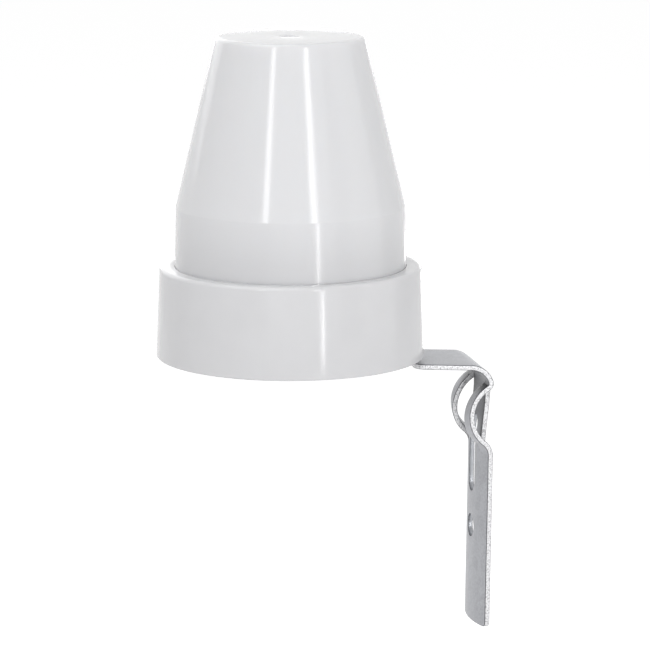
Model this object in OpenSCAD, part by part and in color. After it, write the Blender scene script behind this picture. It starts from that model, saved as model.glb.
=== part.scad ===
// Light sensor switch: a milky conical cover in a round base, on a bent sheet-steel bracket.
// Millimetres, +Z up. The modules draw in the head's frame: the sensor's axis is Z and the
// base's rim lies on z = 0. place() then moves each one so that the bracket's fixing hole,
// at the middle of the sheet, is the model's origin.

/* [Base] */
// Diameter of the base at its rim
base_foot_d = 54; // [53:0.5:60]
// Diameter of the base at its collar
base_collar_d = 52.4; // [51:0.2:53]
// Height of the base
base_h = 18.25; // [17.5:0.25:22]
// Wall of the base's open skirt
base_wall = 2; // [1.2:0.1:2.2]
// Radius of the collar's outer edge
collar_edge_r = 0.8; // [0.3:0.1:1.2]
// Height of the floor's underside above the rim
floor_lift = 6; // [5.8:0.1:6.5]
// Thickness of the floor
floor_t = 2; // [1.5:0.1:2.5]
// Wall of the collar round the socket that takes the cover
collar_t = 2.9; // [2.4:0.1:3.2]
// Depth of the socket
socket_depth = 7.75; // [6:0.25:8]

/* [Cover] */
// Diameter of the cover at its shoulder, as a share of its skirt's in the socket
shoulder_share = 0.987; // [0.965:0.001:0.995]
// Height of the shoulder above the rim
shoulder_z = 30.2; // [26:0.2:36]
// Diameter of the flat top to its sharp corner, as a share of the skirt's
crown_share = 0.639; // [0.52:0.001:0.78]
// Height of the whole head above the rim
head_h = 64.1; // [58:0.1:75]
// Wall of the cover
cover_wall = 1.6; // [1.2:0.1:1.8]
// Radius of the edge round the top
crown_edge_r = 1; // [0.5:0.1:1.4]
// Diameter of the shallow gate mark in the top
gate_d = 4; // [2:0.5:6]
// Depth of the gate mark
gate_depth = 0.3; // [0.2:0.1:0.6]

/* [Bracket] */
// Thickness of the sheet
sheet_t = 1; // [0.8:0.1:1.2]
// Width of the bracket
bracket_w = 16.8; // [15:0.2:20]
// Distance from the head's axis to where the wide leg begins
leg_start = 24; // [23:0.25:24.5]
// Length of the wide leg, up to the bend
leg_run = 11.6; // [9:0.2:20]
// Gap between the rim and the wide leg
rim_gap = 1.5; // [0.8:0.1:2]
// Fall of the wide leg, in degrees
leg_droop = 3.2; // [1:0.1:5]
// Outer radius of the bend
bend_r = 4.9; // [4:0.1:6]
// Lean of the long leg towards the head, in degrees
leg_lean = 0.7; // [0:0.1:1.5]
// Depth of the long leg's end below the rim
leg_drop = 56.9; // [50:0.5:80]
// Radius of the corners where the wide leg begins
plate_corner_r = 2; // [0.8:0.1:2.5]
// Radius of the corners at the long leg's end
end_corner_r = 1; // [0.6:0.1:2.5]
// Radius of the pole that the long leg's hollow face fits
saddle_r = 26; // [22:1:40]
// Width of each bowed strip of the strap loops
loop_w = 3.4; // [2.5:0.1:4]
// Height of the bow above the sheet
loop_h = 4; // [3.2:0.1:4.6]
// Radius of the bow
loop_r = 7.4; // [6.8:0.1:8]
// Distance from the bend's end down to the bow's crown
loop_down = 5.8; // [5.4:0.1:6.2]
// Distance from the crown down to the bow's foot
loop_foot = 8.1; // [7.7:0.1:9]
// Width of the slot
slot_w = 4.3; // [3.5:0.1:5.5]
// Depth of the slot's upper end below the rim
slot_top = 14; // [9:0.2:17]
// Depth of the slot's lower end below the rim
slot_end = 30; // [26:0.5:33]
// Diameter of the fixing hole
hole_d = 4.6; // [3.6:0.1:6]
// Depth of the fixing hole below the rim
hole_drop = 37.3; // [35:0.5:48]
// Width of the narrow tongue that runs up under the base
tongue_w = 7; // [6:0.25:8]
// Width of the tongue's round eye
eye_d = 10; // [8.6:0.2:10.5]

/* [Pivot screw] */
// Distance from the head's axis to the screw
screw_x = 12; // [11.5:0.25:12.5]
// Diameter of the screw's shank
screw_d = 4; // [3.5:0.1:4.2]
// Diameter of the screw's head
screw_head_d = 8; // [7:0.2:9]
// Height of the screw's head
screw_head_h = 2.4; // [2:0.1:2.6]
// Width of the nut across its flats
nut_af = 7; // [6.5:0.1:7.2]
// Thickness of the nut
nut_t = 3.2; // [2.6:0.1:3.4]
// Thickness of the plain washer
washer_t = 0.8; // [0.5:0.1:0.9]
// Thickness of the spring washer
spring_t = 0.9; // [0.7:0.1:1]

/* [Cable outlet] */
// Bore of the rubber grommet that the supply leads pass
outlet_d = 6; // [4:0.25:6.5]
// Diameter of the floor's hole that holds the grommet
outlet_hole_d = 9; // [8:0.25:9.5]

/* [Circuit board] */
// Gap between the round board and the wall round it
board_gap = 1; // [0.8:0.1:1.2]
// Thickness of the board
board_t = 1.6; // [1:0.1:2]
// Height of the posts that carry the board
post_h = 5.5; // [5.3:0.1:7]
// Diameter of the posts
post_d = 5.5; // [4.5:0.1:6]
// Height of the light sensor's disc above the board
sensor_lift = 25; // [22:0.5:32]

/* [Relay] */
// Width of the relay
relay_w = 15.5; // [15:0.1:15.8]
// Length of the relay
relay_l = 19; // [19:0.1:19.6]
// Height of the relay
relay_h = 15.6; // [15.4:0.1:17]
// Thickness of the relay's outer case
case_wall = 0.8; // [0.6:0.1:0.9]

/* [Hidden] */
$fn = 96;

// Clearances, and the overrun of every cut
slide_gap = 0.15;
turn_gap = 0.1;
fit_gap = 0.05;
over = 0.5;

// Base
foot_r = base_foot_d / 2;
collar_r = base_collar_d / 2;
socket_r = collar_r - collar_t;
ledge_z = base_h - socket_depth;
ledge_w = 1.8;
ledge_in_r = socket_r - ledge_w;
skirt_in_r = foot_r - base_wall;
floor_top = floor_lift + floor_t;
rib_h = 2;
rib_t = 1.5;
rib_angles = [120, 180, 240];
foot_chamfer = 0.3;

// Gasket and cover
gasket_t = 1;
gasket_gap = 0.2;
cover_bottom = ledge_z + gasket_t;
skirt_r = socket_r - slide_gap;
shoulder_r = skirt_r * shoulder_share;
crown_r = skirt_r * crown_share;
cone_angle = atan((shoulder_r - crown_r) / (head_h - shoulder_z));

// Grommet
grommet_flange_t = 1.2;
grommet_flange_w = 1.1;

// Pivot screw, from the nut's seat on the floor down to the head
tongue_bottom = floor_lift - sheet_t;
washer_d = 9;
washer_bottom = tongue_bottom - washer_t;
spring_bottom = washer_bottom - spring_t;
spring_d = 7.4;
spring_split = 0.7;
nut_boss_wall = 1.2;
nut_boss_h = nut_t + turn_gap * 2;
nut_pocket_af = nut_af + turn_gap * 2;
recess_w = 1;
recess_l = 4.4;
recess_depth = 1.3;
screw_tip = floor_top + nut_t;

// Bracket: the bend's centre, and the long leg's start on its outer face
leg_turn = 90 - leg_droop + leg_lean;
bend_x = leg_start + leg_run * cos(leg_droop) - bend_r * sin(leg_droop);
bend_z = -rim_gap - leg_run * sin(leg_droop) - bend_r * cos(leg_droop);
long_x = bend_x + bend_r * cos(leg_lean);
long_z = bend_z - bend_r * sin(leg_lean);
long_l = (long_z + leg_drop) / cos(leg_lean);
edge_y = bracket_w / 2;
loop_y = edge_y - loop_w;
loop_end = loop_down + loop_foot;
// Angle of the bow below its crown, and the radius of the fillet that ends it
foot_angle = 2 * atan(loop_h / loop_foot);
fillet_r = loop_foot / sin(foot_angle) - loop_r;
// The bow is folded out this far before the bend's end, and its round starts this far above
// its crown
fold_angle = 11;
bow_top_angle = 57;
bend_steps = 12;
fold_steps = 2;
middle_steps = 6;
bow_steps = 16;
fillet_steps = 6;
tongue_bend_r = 1.6;
tongue_hole_d = screw_d + turn_gap * 2;

// Fixing hole: the distance down the long leg, and its place in the head's frame
function sag(y) = saddle_r - sqrt(saddle_r * saddle_r - y * y);
edge_sag = sag(edge_y);
hole_s = (long_z + hole_drop + edge_sag * sin(leg_lean)) / cos(leg_lean);
origin_x = long_x - hole_s * sin(leg_lean) - edge_sag * cos(leg_lean) - sheet_t / 2;
origin_z = -hole_drop;

// Circuit board
board_r = ledge_in_r - board_gap;
board_z = floor_top + post_h;
board_top = board_z + board_t;
post_angles = [60, 180, 300];
post_share = 0.84;
post_at_r = board_r * post_share;
board_screw_d = 2.2;
board_screw_head_d = 4.4;
board_screw_head_h = 1.6;
board_screw_l = 5;
board_recess_w = 0.6;
stub_h = 1.3;
solder_h = 0.9;
solder_r = 0.95;
thin_lead_r = 0.3;
thick_lead_r = 0.4;
lead_hole_angles = [122, 131, 140];
lead_hole_share = 0.87;
lead_hole_r = 0.8;

// Places on the board, as shares of its radius
relay_shares = [-0.315, 0];
sensor_shares = [0.12, 0];
film_shares = [0.346, 0];
smoothing_shares = [0.735, 0];
delay_shares = [0.66, -0.474];
varistor_shares = [0.644, 0.454];
transistor_shares = [0.205, -0.576];
zener_shares = [0.03, -0.683];
relay_at = board_r * relay_shares;
sensor_at = board_r * sensor_shares;
film_at = board_r * film_shares;
smoothing_at = board_r * smoothing_shares;
delay_at = board_r * delay_shares;
varistor_at = board_r * varistor_shares;
transistor_at = board_r * transistor_shares;
zener_at = board_r * zener_shares;
diode_row_share = 0.683;
diode_shares = [-0.366, -0.21, -0.054, 0.102];
resistor_row_share = -0.683;
resistor_shares = [-0.42, -0.273, -0.127];

// Relay, with heights above the board
relay_base_t = 2;
yoke_w = 9;
yoke_t = 1.2;
yoke_y = 7.4;
yoke_top = 12.4;
core_y = 1.6;
core_r = 2;
pole_r = 3;
pole_t = 0.4;
pole_top = 11.7;
coil_r = 4.2;
coil_flange_r = 4.6;
coil_flange_t = 0.8;
armature_t = 1;
armature_gap = 0.08;
armature_end_y = -3;
armature_z = yoke_top + armature_gap;
blade_t = 0.25;
blade_w = 3;
blade_end_y = -7.4;
button_r = 0.9;
button_h = 0.3;
contact_y = -6.4;
contact_travel = 1.15;
contact_strip_t = 0.25;
contact_strip_w = 4;
contact_post_w = 1.5;
contact_post_y = -8;
relay_pin_r = 0.45;
coil_pin_x = 6;
coil_pin_y = 4;
case_edge_r = 0.9;
contact_pin_x = contact_strip_w - button_r - contact_post_w / 2;

// Light sensor
sensor_d = 5;
sensor_t = 2;
sensor_pitch = 3.4;
sensor_lead_r = 0.25;
sleeve_r = 0.6;
track_w = 0.35;
track_h = 0.08;

// Film capacitor
film_w = 6.8;
film_l = 16;
film_h = 13;
film_edge_r = 0.8;
film_pitch = 12;

// Electrolytic capacitors: diameter, height and lead pitch
smoothing_d = 8;
smoothing_h = 12;
smoothing_pitch = 3.5;
delay_d = 6.2;
delay_h = 10;
delay_pitch = 2.5;
can_groove_r = 0.45;
can_groove_share = 0.16;
vent_w = 0.4;
vent_depth = 0.2;

// Axial parts: body diameter, body length and lead pitch
diode_d = 2.6;
diode_l = 4.6;
diode_pitch = 7;
zener_d = 1.8;
zener_l = 3.6;
zener_pitch = 6.2;
resistor_d = 2.2;
resistor_l = 5.2;
resistor_pitch = 6.8;
resistor_waist = 0.3;
axial_lift = 0.3;
axial_wire_share = 0.9;

// Transistor and varistor
transistor_d = 4.6;
transistor_h = 4.6;
transistor_lift = 2;
transistor_pitch = 1.27;
transistor_flat_share = 0.3;
varistor_d = 7;
varistor_t = 3.6;
varistor_pitch = 5;
varistor_lift = 1;
varistor_edge_r = 1.4;
varistor_turn = 125;

// Holes in the board, each [x, y, radius of its lead]
function pair_x(at, pitch, r) = [[at[0] - pitch / 2, at[1], r], [at[0] + pitch / 2, at[1], r]];
function pair_y(at, pitch, r) = [[at[0], at[1] - pitch / 2, r], [at[0], at[1] + pitch / 2, r]];
function pair_at(at, pitch, angle, r) = [for (side = [-1, 1])
    [at[0] + side * pitch / 2 * cos(angle), at[1] + side * pitch / 2 * sin(angle), r]];
relay_leads = concat(
    pair_x(relay_at + [0, coil_pin_y], coil_pin_x * 2, relay_pin_r),
    pair_x(relay_at + [0, contact_post_y], contact_pin_x * 2, relay_pin_r),
    [[relay_at[0], relay_at[1] + yoke_y, relay_pin_r]]
);
sensor_leads = pair_y(sensor_at, sensor_pitch, sensor_lead_r);
film_leads = pair_y(film_at, film_pitch, thick_lead_r);
smoothing_leads = pair_x(smoothing_at, smoothing_pitch, thin_lead_r);
delay_leads = pair_x(delay_at, delay_pitch, thin_lead_r);
varistor_leads = pair_at(varistor_at, varistor_pitch, varistor_turn, thin_lead_r);
transistor_leads = [for (i = [-1, 0, 1])
    [transistor_at[0] + i * transistor_pitch, transistor_at[1], sensor_lead_r]];
zener_leads = pair_y(zener_at, zener_pitch, sensor_lead_r);
diode_places = [for (share = diode_shares) board_r * [share, diode_row_share]];
resistor_places = [for (share = resistor_shares) board_r * [share, resistor_row_share]];
diode_leads = [for (at = diode_places) each pair_y(at, diode_pitch, thick_lead_r)];
resistor_leads = [for (at = resistor_places) each pair_y(at, resistor_pitch, thin_lead_r)];
all_leads = concat(relay_leads, sensor_leads, film_leads, smoothing_leads, delay_leads,
    varistor_leads, transistor_leads, zener_leads, diode_leads, resistor_leads);

module place() {
    translate([-origin_x, 0, -origin_z]) children();
}

module ring(r_out, r_in, h) {
    difference() {
        cylinder(r = r_out, h = h);
        translate([0, 0, -over]) cylinder(r = r_in, h = h + 2 * over);
    }
}

module rounded_rectangle(size, r) {
    square([size[0] - 2 * r, size[1]], center = true);
    square([size[0], size[1] - 2 * r], center = true);
    for (sx = [-1, 1], sy = [-1, 1])
        translate([sx * (size[0] / 2 - r), sy * (size[1] / 2 - r)]) circle(r);
}

// Upright leads from the height z down through the board to their stubs
module leads(places, z) {
    for (p = places)
        translate([p[0], p[1], board_z - stub_h]) cylinder(r = p[2], h = z - board_z + stub_h);
}

// Half section of the cover through its skirt, shoulder and crown, rounded at the crown
module cover_section(foot, shoulder, crown, z_bottom, z_top, edge_r) {
    edge_x = crown - edge_r * (1 - sin(cone_angle)) / cos(cone_angle);
    polygon([
        [0, z_bottom], [foot, z_bottom], [foot, base_h], [shoulder, shoulder_z],
        [edge_x + edge_r * cos(cone_angle), z_top - edge_r + edge_r * sin(cone_angle)],
        [edge_x, z_top], [0, z_top]
    ]);
    translate([edge_x, z_top - edge_r]) circle(edge_r);
}

module dome_cover() {
    inner_drop = cover_wall * tan(cone_angle);
    color("whitesmoke") difference() {
        rotate_extrude() cover_section(skirt_r, shoulder_r, crown_r, cover_bottom, head_h,
            crown_edge_r);
        rotate_extrude() cover_section(skirt_r - cover_wall, shoulder_r - cover_wall,
            crown_r - cover_wall + inner_drop, cover_bottom - over, head_h - cover_wall,
            crown_edge_r / 2);
        translate([0, 0, head_h - gate_depth]) cylinder(d = gate_d, h = gate_depth + over);
    }
}

module cup_section() {
    edge_x = collar_r - collar_edge_r;
    difference() {
        union() {
            polygon([
                [0, 0], [foot_r - foot_chamfer, 0], [foot_r, foot_chamfer],
                [collar_r, base_h - collar_edge_r], [edge_x, base_h], [0, base_h]
            ]);
            translate([edge_x, base_h - collar_edge_r]) circle(collar_edge_r);
        }
        translate([0, -over]) square([socket_r, floor_lift + over]);
        translate([socket_r, -over])
            square([skirt_in_r - socket_r, ledge_z - floor_t + over]);
        translate([0, ledge_z]) square([socket_r, socket_depth + over]);
        translate([0, floor_top]) square([ledge_in_r, base_h - floor_top]);
    }
}

module base_cup() {
    nut_boss_r = nut_pocket_af / 2 / cos(30) + nut_boss_wall;
    color("gainsboro") difference() {
        union() {
            rotate_extrude() cup_section();
            for (a = post_angles)
                rotate([0, 0, a]) translate([post_at_r, 0, floor_lift])
                    cylinder(d = post_d, h = board_z - floor_lift);
            translate([screw_x, 0, floor_lift])
                cylinder(r = nut_boss_r, h = floor_t + nut_boss_h);
            for (a = rib_angles)
                rotate([0, 0, a])
                    translate([outlet_hole_d, -rib_t / 2, floor_lift - rib_h])
                    cube([ledge_in_r - outlet_hole_d, rib_t, rib_h + floor_t / 2]);
        }
        for (a = post_angles)
            rotate([0, 0, a]) translate([post_at_r, 0, floor_top])
                cylinder(d = board_screw_d + 2 * fit_gap, h = post_h + over);
        translate([screw_x, 0, floor_lift - over])
            cylinder(d = tongue_hole_d, h = floor_t + 2 * over);
        translate([screw_x, 0, floor_top])
            cylinder(d = nut_pocket_af / cos(30), h = nut_boss_h + over, $fn = 6);
        translate([0, 0, floor_lift - over])
            cylinder(d = outlet_hole_d, h = floor_t + 2 * over);
    }
}

module cover_gasket() {
    color("dimgray") translate([0, 0, ledge_z])
        ring(socket_r - gasket_gap, ledge_in_r + gasket_gap, gasket_t);
}

module cable_grommet() {
    neck_r = outlet_hole_d / 2 - fit_gap;
    color("dimgray") difference() {
        union() {
            translate([0, 0, floor_lift - grommet_flange_t])
                cylinder(r = neck_r + grommet_flange_w, h = grommet_flange_t);
            translate([0, 0, floor_lift]) cylinder(r = neck_r, h = floor_t);
            translate([0, 0, floor_top])
                cylinder(r = neck_r + grommet_flange_w, h = grommet_flange_t);
        }
        translate([0, 0, floor_lift - grommet_flange_t - over])
            cylinder(d = outlet_d, h = floor_t + 2 * (grommet_flange_t + over));
    }
}

// A point of the sheet in the long leg's frame, [down the leg, across, outwards]: the face
// nearer the head (side = 0) or the outer one (side = 1). The sheet is flat at the bend and
// fully hollow at the bow's foot; path gives [s, n, slope] of the face nearer the head.
function hollow_share(s) = let(u = min(1, max(0, s / loop_end))) u * u * (3 - 2 * u);
function leg_point(path, y, side) = [
    path[0] + side * sheet_t * sin(path[2]),
    y,
    path[1] + side * sheet_t * cos(path[2]) - hollow_share(path[0]) * (edge_sag - sag(y))
];
// The bend, b degrees before its end; the wide leg's start; the straight long leg; and the
// bow, a round crown and the fillet that ends it
function bend_path(b) = [-(bend_r - sheet_t) * sin(b), (bend_r - sheet_t) * cos(b) - bend_r, -b];
function wide_path(b) = bend_path(b) - leg_run * [cos(b), sin(b), 0];
function flat_path(s) = [s, -sheet_t, 0];
function crown_path(a) = [loop_down - loop_r * sin(a),
    -sheet_t - loop_h + loop_r * (1 - cos(a)), a];
function fillet_path(a) = [loop_end - fillet_r * sin(a),
    -sheet_t - fillet_r * (1 - cos(a)), -a];
top_path = concat(
    [wide_path(leg_turn)],
    [for (i = [0 : bend_steps]) bend_path(leg_turn + i * (fold_angle - leg_turn) / bend_steps)]
);
middle_path = concat(
    [for (i = [0 : fold_steps]) bend_path(fold_angle * (1 - i / fold_steps))],
    [for (i = [1 : middle_steps]) flat_path(loop_end * i / middle_steps)]
);
bow_path = concat(
    [bend_path(fold_angle)],
    [for (i = [0 : bow_steps])
        crown_path(bow_top_angle - i * (bow_top_angle + foot_angle) / bow_steps)],
    [for (i = [1 : fillet_steps]) fillet_path(foot_angle * (1 - i / fillet_steps))]
);

// A stretch of the long leg over the widths ys, as one closed sheet along the path
module leg_sheet(path, ys) {
    rows = len(path);
    cols = len(ys);
    ring_n = 2 * cols;
    points = [for (p = path) each concat(
        [for (y = ys) leg_point(p, y, 0)],
        [for (i = [cols - 1 : -1 : 0]) leg_point(p, ys[i], 1)]
    )];
    sides = [for (r = [0 : rows - 2], c = [0 : ring_n - 1])
        let(a = r * ring_n + c, b = r * ring_n + (c + 1) % ring_n)
        each [[a, b + ring_n, b], [a, a + ring_n, b + ring_n]]];
    caps = [for (c = [0 : cols - 2])
        let(a = c, b = c + 1, d = ring_n - 2 - c, e = ring_n - 1 - c, z = (rows - 1) * ring_n)
        each [[a, b, d], [a, d, e], [z + a, z + d, z + b], [z + a, z + e, z + d]]];
    polyhedron(points, concat(sides, caps));
}

// Moves to the long leg's start on its outer face, with x down the leg and z outwards
module at_long_leg() {
    translate([long_x, 0, long_z]) rotate([0, 90 + leg_lean, 0]) children();
}

// The sheet from the wide leg to the long leg's end, in the long leg's frame
module bent_sheet() {
    strip_ys = [loop_y, loop_y + loop_w / 2, edge_y];
    middle_ys = [-loop_y, -loop_y / 2, 0, loop_y / 2, loop_y];
    mirror_ys = [for (i = [2 : -1 : 0]) -strip_ys[i]];
    plate_ys = concat(mirror_ys, [-loop_y / 2, 0, loop_y / 2], strip_ys);
    leg_sheet(top_path, plate_ys);
    leg_sheet(middle_path, middle_ys);
    leg_sheet(bow_path, strip_ys);
    leg_sheet(bow_path, mirror_ys);
    leg_sheet([flat_path(loop_end), flat_path(long_l)], plate_ys);
}

// What rounds off both corners of a plate as wide as the bracket, whose end is at x = 0
module corner_cuts(r) {
    h = 2 * (edge_sag + sheet_t + over);
    for (side = [0, 1])
        mirror([0, side, 0]) translate([0, edge_y, -h / 2]) linear_extrude(h) difference() {
            translate([-over, -r]) square([r + over, r + over]);
            translate([r, -r]) circle(r);
        }
}

// Side view of the tongue: up from the wide leg, then in to the screw's eye. Its foot lies
// a fit's gap lower than the wide leg, into which it runs
module tongue_section() {
    inner_r = tongue_bend_r - sheet_t;
    rise_x = leg_start - tongue_bend_r + sheet_t;
    foot_z = -rim_gap - sheet_t - fit_gap;
    translate([rise_x + inner_r, foot_z]) square([leg_start - rise_x, sheet_t]);
    translate([rise_x - sheet_t, foot_z + tongue_bend_r])
        square([sheet_t, floor_lift - foot_z - 2 * tongue_bend_r]);
    translate([screw_x, tongue_bottom])
        square([rise_x - tongue_bend_r - screw_x, sheet_t]);
    translate([rise_x + inner_r, foot_z + tongue_bend_r]) quarter_bend(180);
    translate([rise_x - tongue_bend_r, floor_lift - tongue_bend_r]) quarter_bend(0);
}

module quarter_bend(turn) {
    rotate(turn) intersection() {
        difference() {
            circle(tongue_bend_r);
            circle(tongue_bend_r - sheet_t);
        }
        square(tongue_bend_r);
    }
}

module bracket() {
    slot_r = slot_w / 2;
    cut_x = long_x - loop_h - sheet_t - 2 * over;
    cut_l = loop_h + 2 * sheet_t + 3 * over;
    color("silver") difference() {
        union() {
            rotate([90, 0, 0]) translate([0, 0, -tongue_w / 2])
                linear_extrude(tongue_w) tongue_section();
            translate([screw_x, 0, tongue_bottom]) cylinder(d = eye_d, h = sheet_t);
            at_long_leg() bent_sheet();
        }
        translate([leg_start, 0, -rim_gap]) rotate([0, leg_droop, 0]) corner_cuts(plate_corner_r);
        at_long_leg() translate([long_l, 0, 0]) mirror([1, 0, 0]) corner_cuts(end_corner_r);
        translate([screw_x, 0, tongue_bottom - over])
            cylinder(d = tongue_hole_d, h = sheet_t + 2 * over);
        translate([cut_x, 0, -hole_drop]) rotate([0, 90, 0]) cylinder(d = hole_d, h = cut_l);
        for (z = [-slot_top - slot_r, -slot_end + slot_r])
            translate([cut_x, 0, z]) rotate([0, 90, 0]) cylinder(r = slot_r, h = cut_l);
        translate([cut_x, -slot_r, -slot_end + slot_r])
            cube([cut_l, slot_w, slot_end - slot_top - slot_w]);
    }
}

module bracket_screw() {
    color("silver") translate([screw_x, 0, 0]) difference() {
        union() {
            translate([0, 0, spring_bottom]) cylinder(d = screw_d, h = screw_tip - spring_bottom);
            translate([0, 0, spring_bottom - screw_head_h])
                cylinder(d = screw_head_d, h = screw_head_h);
        }
        for (a = [0, 90])
            rotate([0, 0, a])
                translate([-recess_l / 2, -recess_w / 2, spring_bottom - screw_head_h - over])
                cube([recess_l, recess_w, recess_depth + over]);
    }
}

module bracket_washer() {
    color("silver") translate([screw_x, 0, washer_bottom])
        ring(washer_d / 2, tongue_hole_d / 2, washer_t);
}

module spring_washer() {
    color("silver") translate([screw_x, 0, spring_bottom]) difference() {
        ring(spring_d / 2, tongue_hole_d / 2, spring_t);
        translate([0, -spring_split / 2, -over])
            cube([spring_d, spring_split, spring_t + 2 * over]);
    }
}

module bracket_nut() {
    color("silver") translate([screw_x, 0, floor_top]) difference() {
        cylinder(d = nut_af / cos(30), h = nut_t, $fn = 6);
        translate([0, 0, -over]) cylinder(d = screw_d + 2 * fit_gap, h = nut_t + 2 * over);
    }
}

module circuit_board() {
    color("burlywood") difference() {
        translate([0, 0, board_z]) cylinder(r = board_r, h = board_t);
        for (p = all_leads)
            translate([p[0], p[1], board_z - over])
                cylinder(r = p[2] + fit_gap, h = board_t + 2 * over);
        for (a = post_angles)
            rotate([0, 0, a]) translate([post_at_r, 0, board_z - over])
                cylinder(d = board_screw_d + 2 * slide_gap, h = board_t + 2 * over);
        for (a = lead_hole_angles)
            rotate([0, 0, a]) translate([board_r * lead_hole_share, 0, board_z - over])
                cylinder(r = lead_hole_r, h = board_t + 2 * over);
    }
}

module board_screws() {
    color("silver") for (a = post_angles)
        rotate([0, 0, a]) translate([post_at_r, 0, board_top]) difference() {
            union() {
                cylinder(d = board_screw_head_d, h = board_screw_head_h);
                translate([0, 0, -board_screw_l]) cylinder(d = board_screw_d, h = board_screw_l);
            }
            for (turn = [0, 90])
                rotate([0, 0, turn])
                    translate([-board_screw_d / 2, -board_recess_w / 2, board_screw_head_h / 2])
                    cube([board_screw_d, board_recess_w, board_screw_head_h]);
        }
}

// Moves to the relay's centre on the board
module at_relay() {
    translate([relay_at[0], relay_at[1], board_top]) children();
}

module relay_case() {
    color("royalblue") at_relay() difference() {
        linear_extrude(relay_h) rounded_rectangle([relay_w, relay_l], case_edge_r);
        translate([0, 0, -over]) linear_extrude(relay_h - case_wall + over)
            square([relay_w - 2 * case_wall, relay_l - 2 * case_wall], center = true);
    }
}

module relay_base() {
    size = [relay_w, relay_l] - 2 * (case_wall + fit_gap) * [1, 1];
    color("midnightblue") difference() {
        at_relay() linear_extrude(relay_base_t) square(size, center = true);
        for (p = relay_leads)
            translate([p[0], p[1], board_top - over])
                cylinder(r = p[2] + fit_gap, h = relay_base_t + 2 * over);
    }
}

module relay_pins() {
    color("silver") leads(relay_leads, board_top + relay_base_t);
}

module relay_coil() {
    bottom = relay_base_t + yoke_t;
    flange_top = pole_top - pole_t;
    color("peru") at_relay() translate([0, core_y, 0]) difference() {
        union() {
            translate([0, 0, bottom]) cylinder(r = coil_flange_r, h = coil_flange_t);
            translate([0, 0, bottom]) cylinder(r = coil_r, h = flange_top - bottom);
            translate([0, 0, flange_top - coil_flange_t])
                cylinder(r = coil_flange_r, h = coil_flange_t);
        }
        translate([0, 0, bottom - over])
            cylinder(r = core_r + fit_gap, h = flange_top - bottom + 2 * over);
    }
}

module relay_yoke() {
    color("lightgray") at_relay() {
        translate([-yoke_w / 2, core_y - pole_r, relay_base_t])
            cube([yoke_w, yoke_y + yoke_t / 2 - core_y + pole_r, yoke_t]);
        translate([-yoke_w / 2, yoke_y - yoke_t / 2, relay_base_t])
            cube([yoke_w, yoke_t, yoke_top - relay_base_t]);
        translate([0, core_y, relay_base_t]) cylinder(r = core_r, h = pole_top - relay_base_t);
        translate([0, core_y, pole_top - pole_t]) cylinder(r = pole_r, h = pole_t);
    }
}

// The armature tips on the yoke's upper edge and carries the contact blade
module relay_armature() {
    blade_z = armature_z + armature_t;
    color("lightgray") at_relay() {
        translate([-yoke_w / 2, armature_end_y, armature_z])
            cube([yoke_w, yoke_y + yoke_t / 2 - armature_end_y, armature_t]);
        translate([-blade_w / 2, blade_end_y, blade_z])
            cube([blade_w, armature_end_y - blade_end_y + armature_t, blade_t]);
        translate([0, contact_y, blade_z - button_h])
            cylinder(r = button_r, h = 2 * button_h + blade_t);
    }
}

// The blade rests under the upper contact; pulled in, it meets the lower one
module relay_contacts() {
    upper_z = armature_z + armature_t + blade_t + button_h + fit_gap;
    lower_z = armature_z + armature_t - button_h - contact_travel - fit_gap;
    color("gold") at_relay() {
        fixed_contact(upper_z, upper_z + button_h);
        mirror([1, 0, 0])
            fixed_contact(lower_z - button_h, lower_z - button_h - contact_strip_t);
    }
}

// A contact button on its strip, with the post that stands on a relay pin
module fixed_contact(button_z, strip_z) {
    post_edge = contact_post_y - contact_strip_t / 2;
    translate([0, contact_y, button_z]) cylinder(r = button_r, h = button_h);
    translate([-button_r, post_edge, strip_z])
        cube([contact_strip_w, contact_y + button_r - post_edge, contact_strip_t]);
    translate([contact_pin_x - contact_post_w / 2, post_edge, relay_base_t])
        cube([contact_post_w, contact_strip_t, strip_z + contact_strip_t - relay_base_t]);
}

module light_sensor() {
    disc_z = board_top + sensor_lift;
    color("orange") {
        translate([sensor_at[0], sensor_at[1], disc_z]) cylinder(d = sensor_d, h = sensor_t);
        for (i = [-2 : 2])
            translate([sensor_at[0] + i * 2 * track_w - track_w / 2,
                sensor_at[1] - sensor_d / 3, disc_z + sensor_t])
                cube([track_w, sensor_d * 2 / 3, track_h]);
        leads(sensor_leads, disc_z);
    }
}

module sensor_sleeves() {
    color("white") for (p = sensor_leads)
        translate([p[0], p[1], board_top])
            ring(sleeve_r, sensor_lead_r + fit_gap, sensor_lift - sensor_t);
}

module film_capacitor() {
    color("gold") {
        translate([film_at[0], film_at[1], board_top + axial_lift])
            linear_extrude(film_h) rounded_rectangle([film_w, film_l], film_edge_r);
        leads(film_leads, board_top + axial_lift + film_edge_r);
    }
}

// Electrolytic can with its rolled groove and the crossed vent on top
module can_capacitor(at, d, h, places) {
    translate([at[0], at[1], board_top + axial_lift]) difference() {
        cylinder(d = d, h = h);
        translate([0, 0, h * can_groove_share]) rotate_extrude()
            translate([d / 2 + can_groove_r / 2, 0]) circle(can_groove_r);
        for (a = [0, 90])
            rotate([0, 0, a]) translate([-d / 3, -vent_w / 2, h - vent_depth])
                cube([d * 2 / 3, vent_w, vent_depth + over]);
    }
    leads(places, board_top + axial_lift + can_groove_r);
}

module smoothing_capacitor() {
    color("darkslategray") can_capacitor(smoothing_at, smoothing_d, smoothing_h, smoothing_leads);
}

module delay_capacitor() {
    color("darkslategray") can_capacitor(delay_at, delay_d, delay_h, delay_leads);
}

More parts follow.
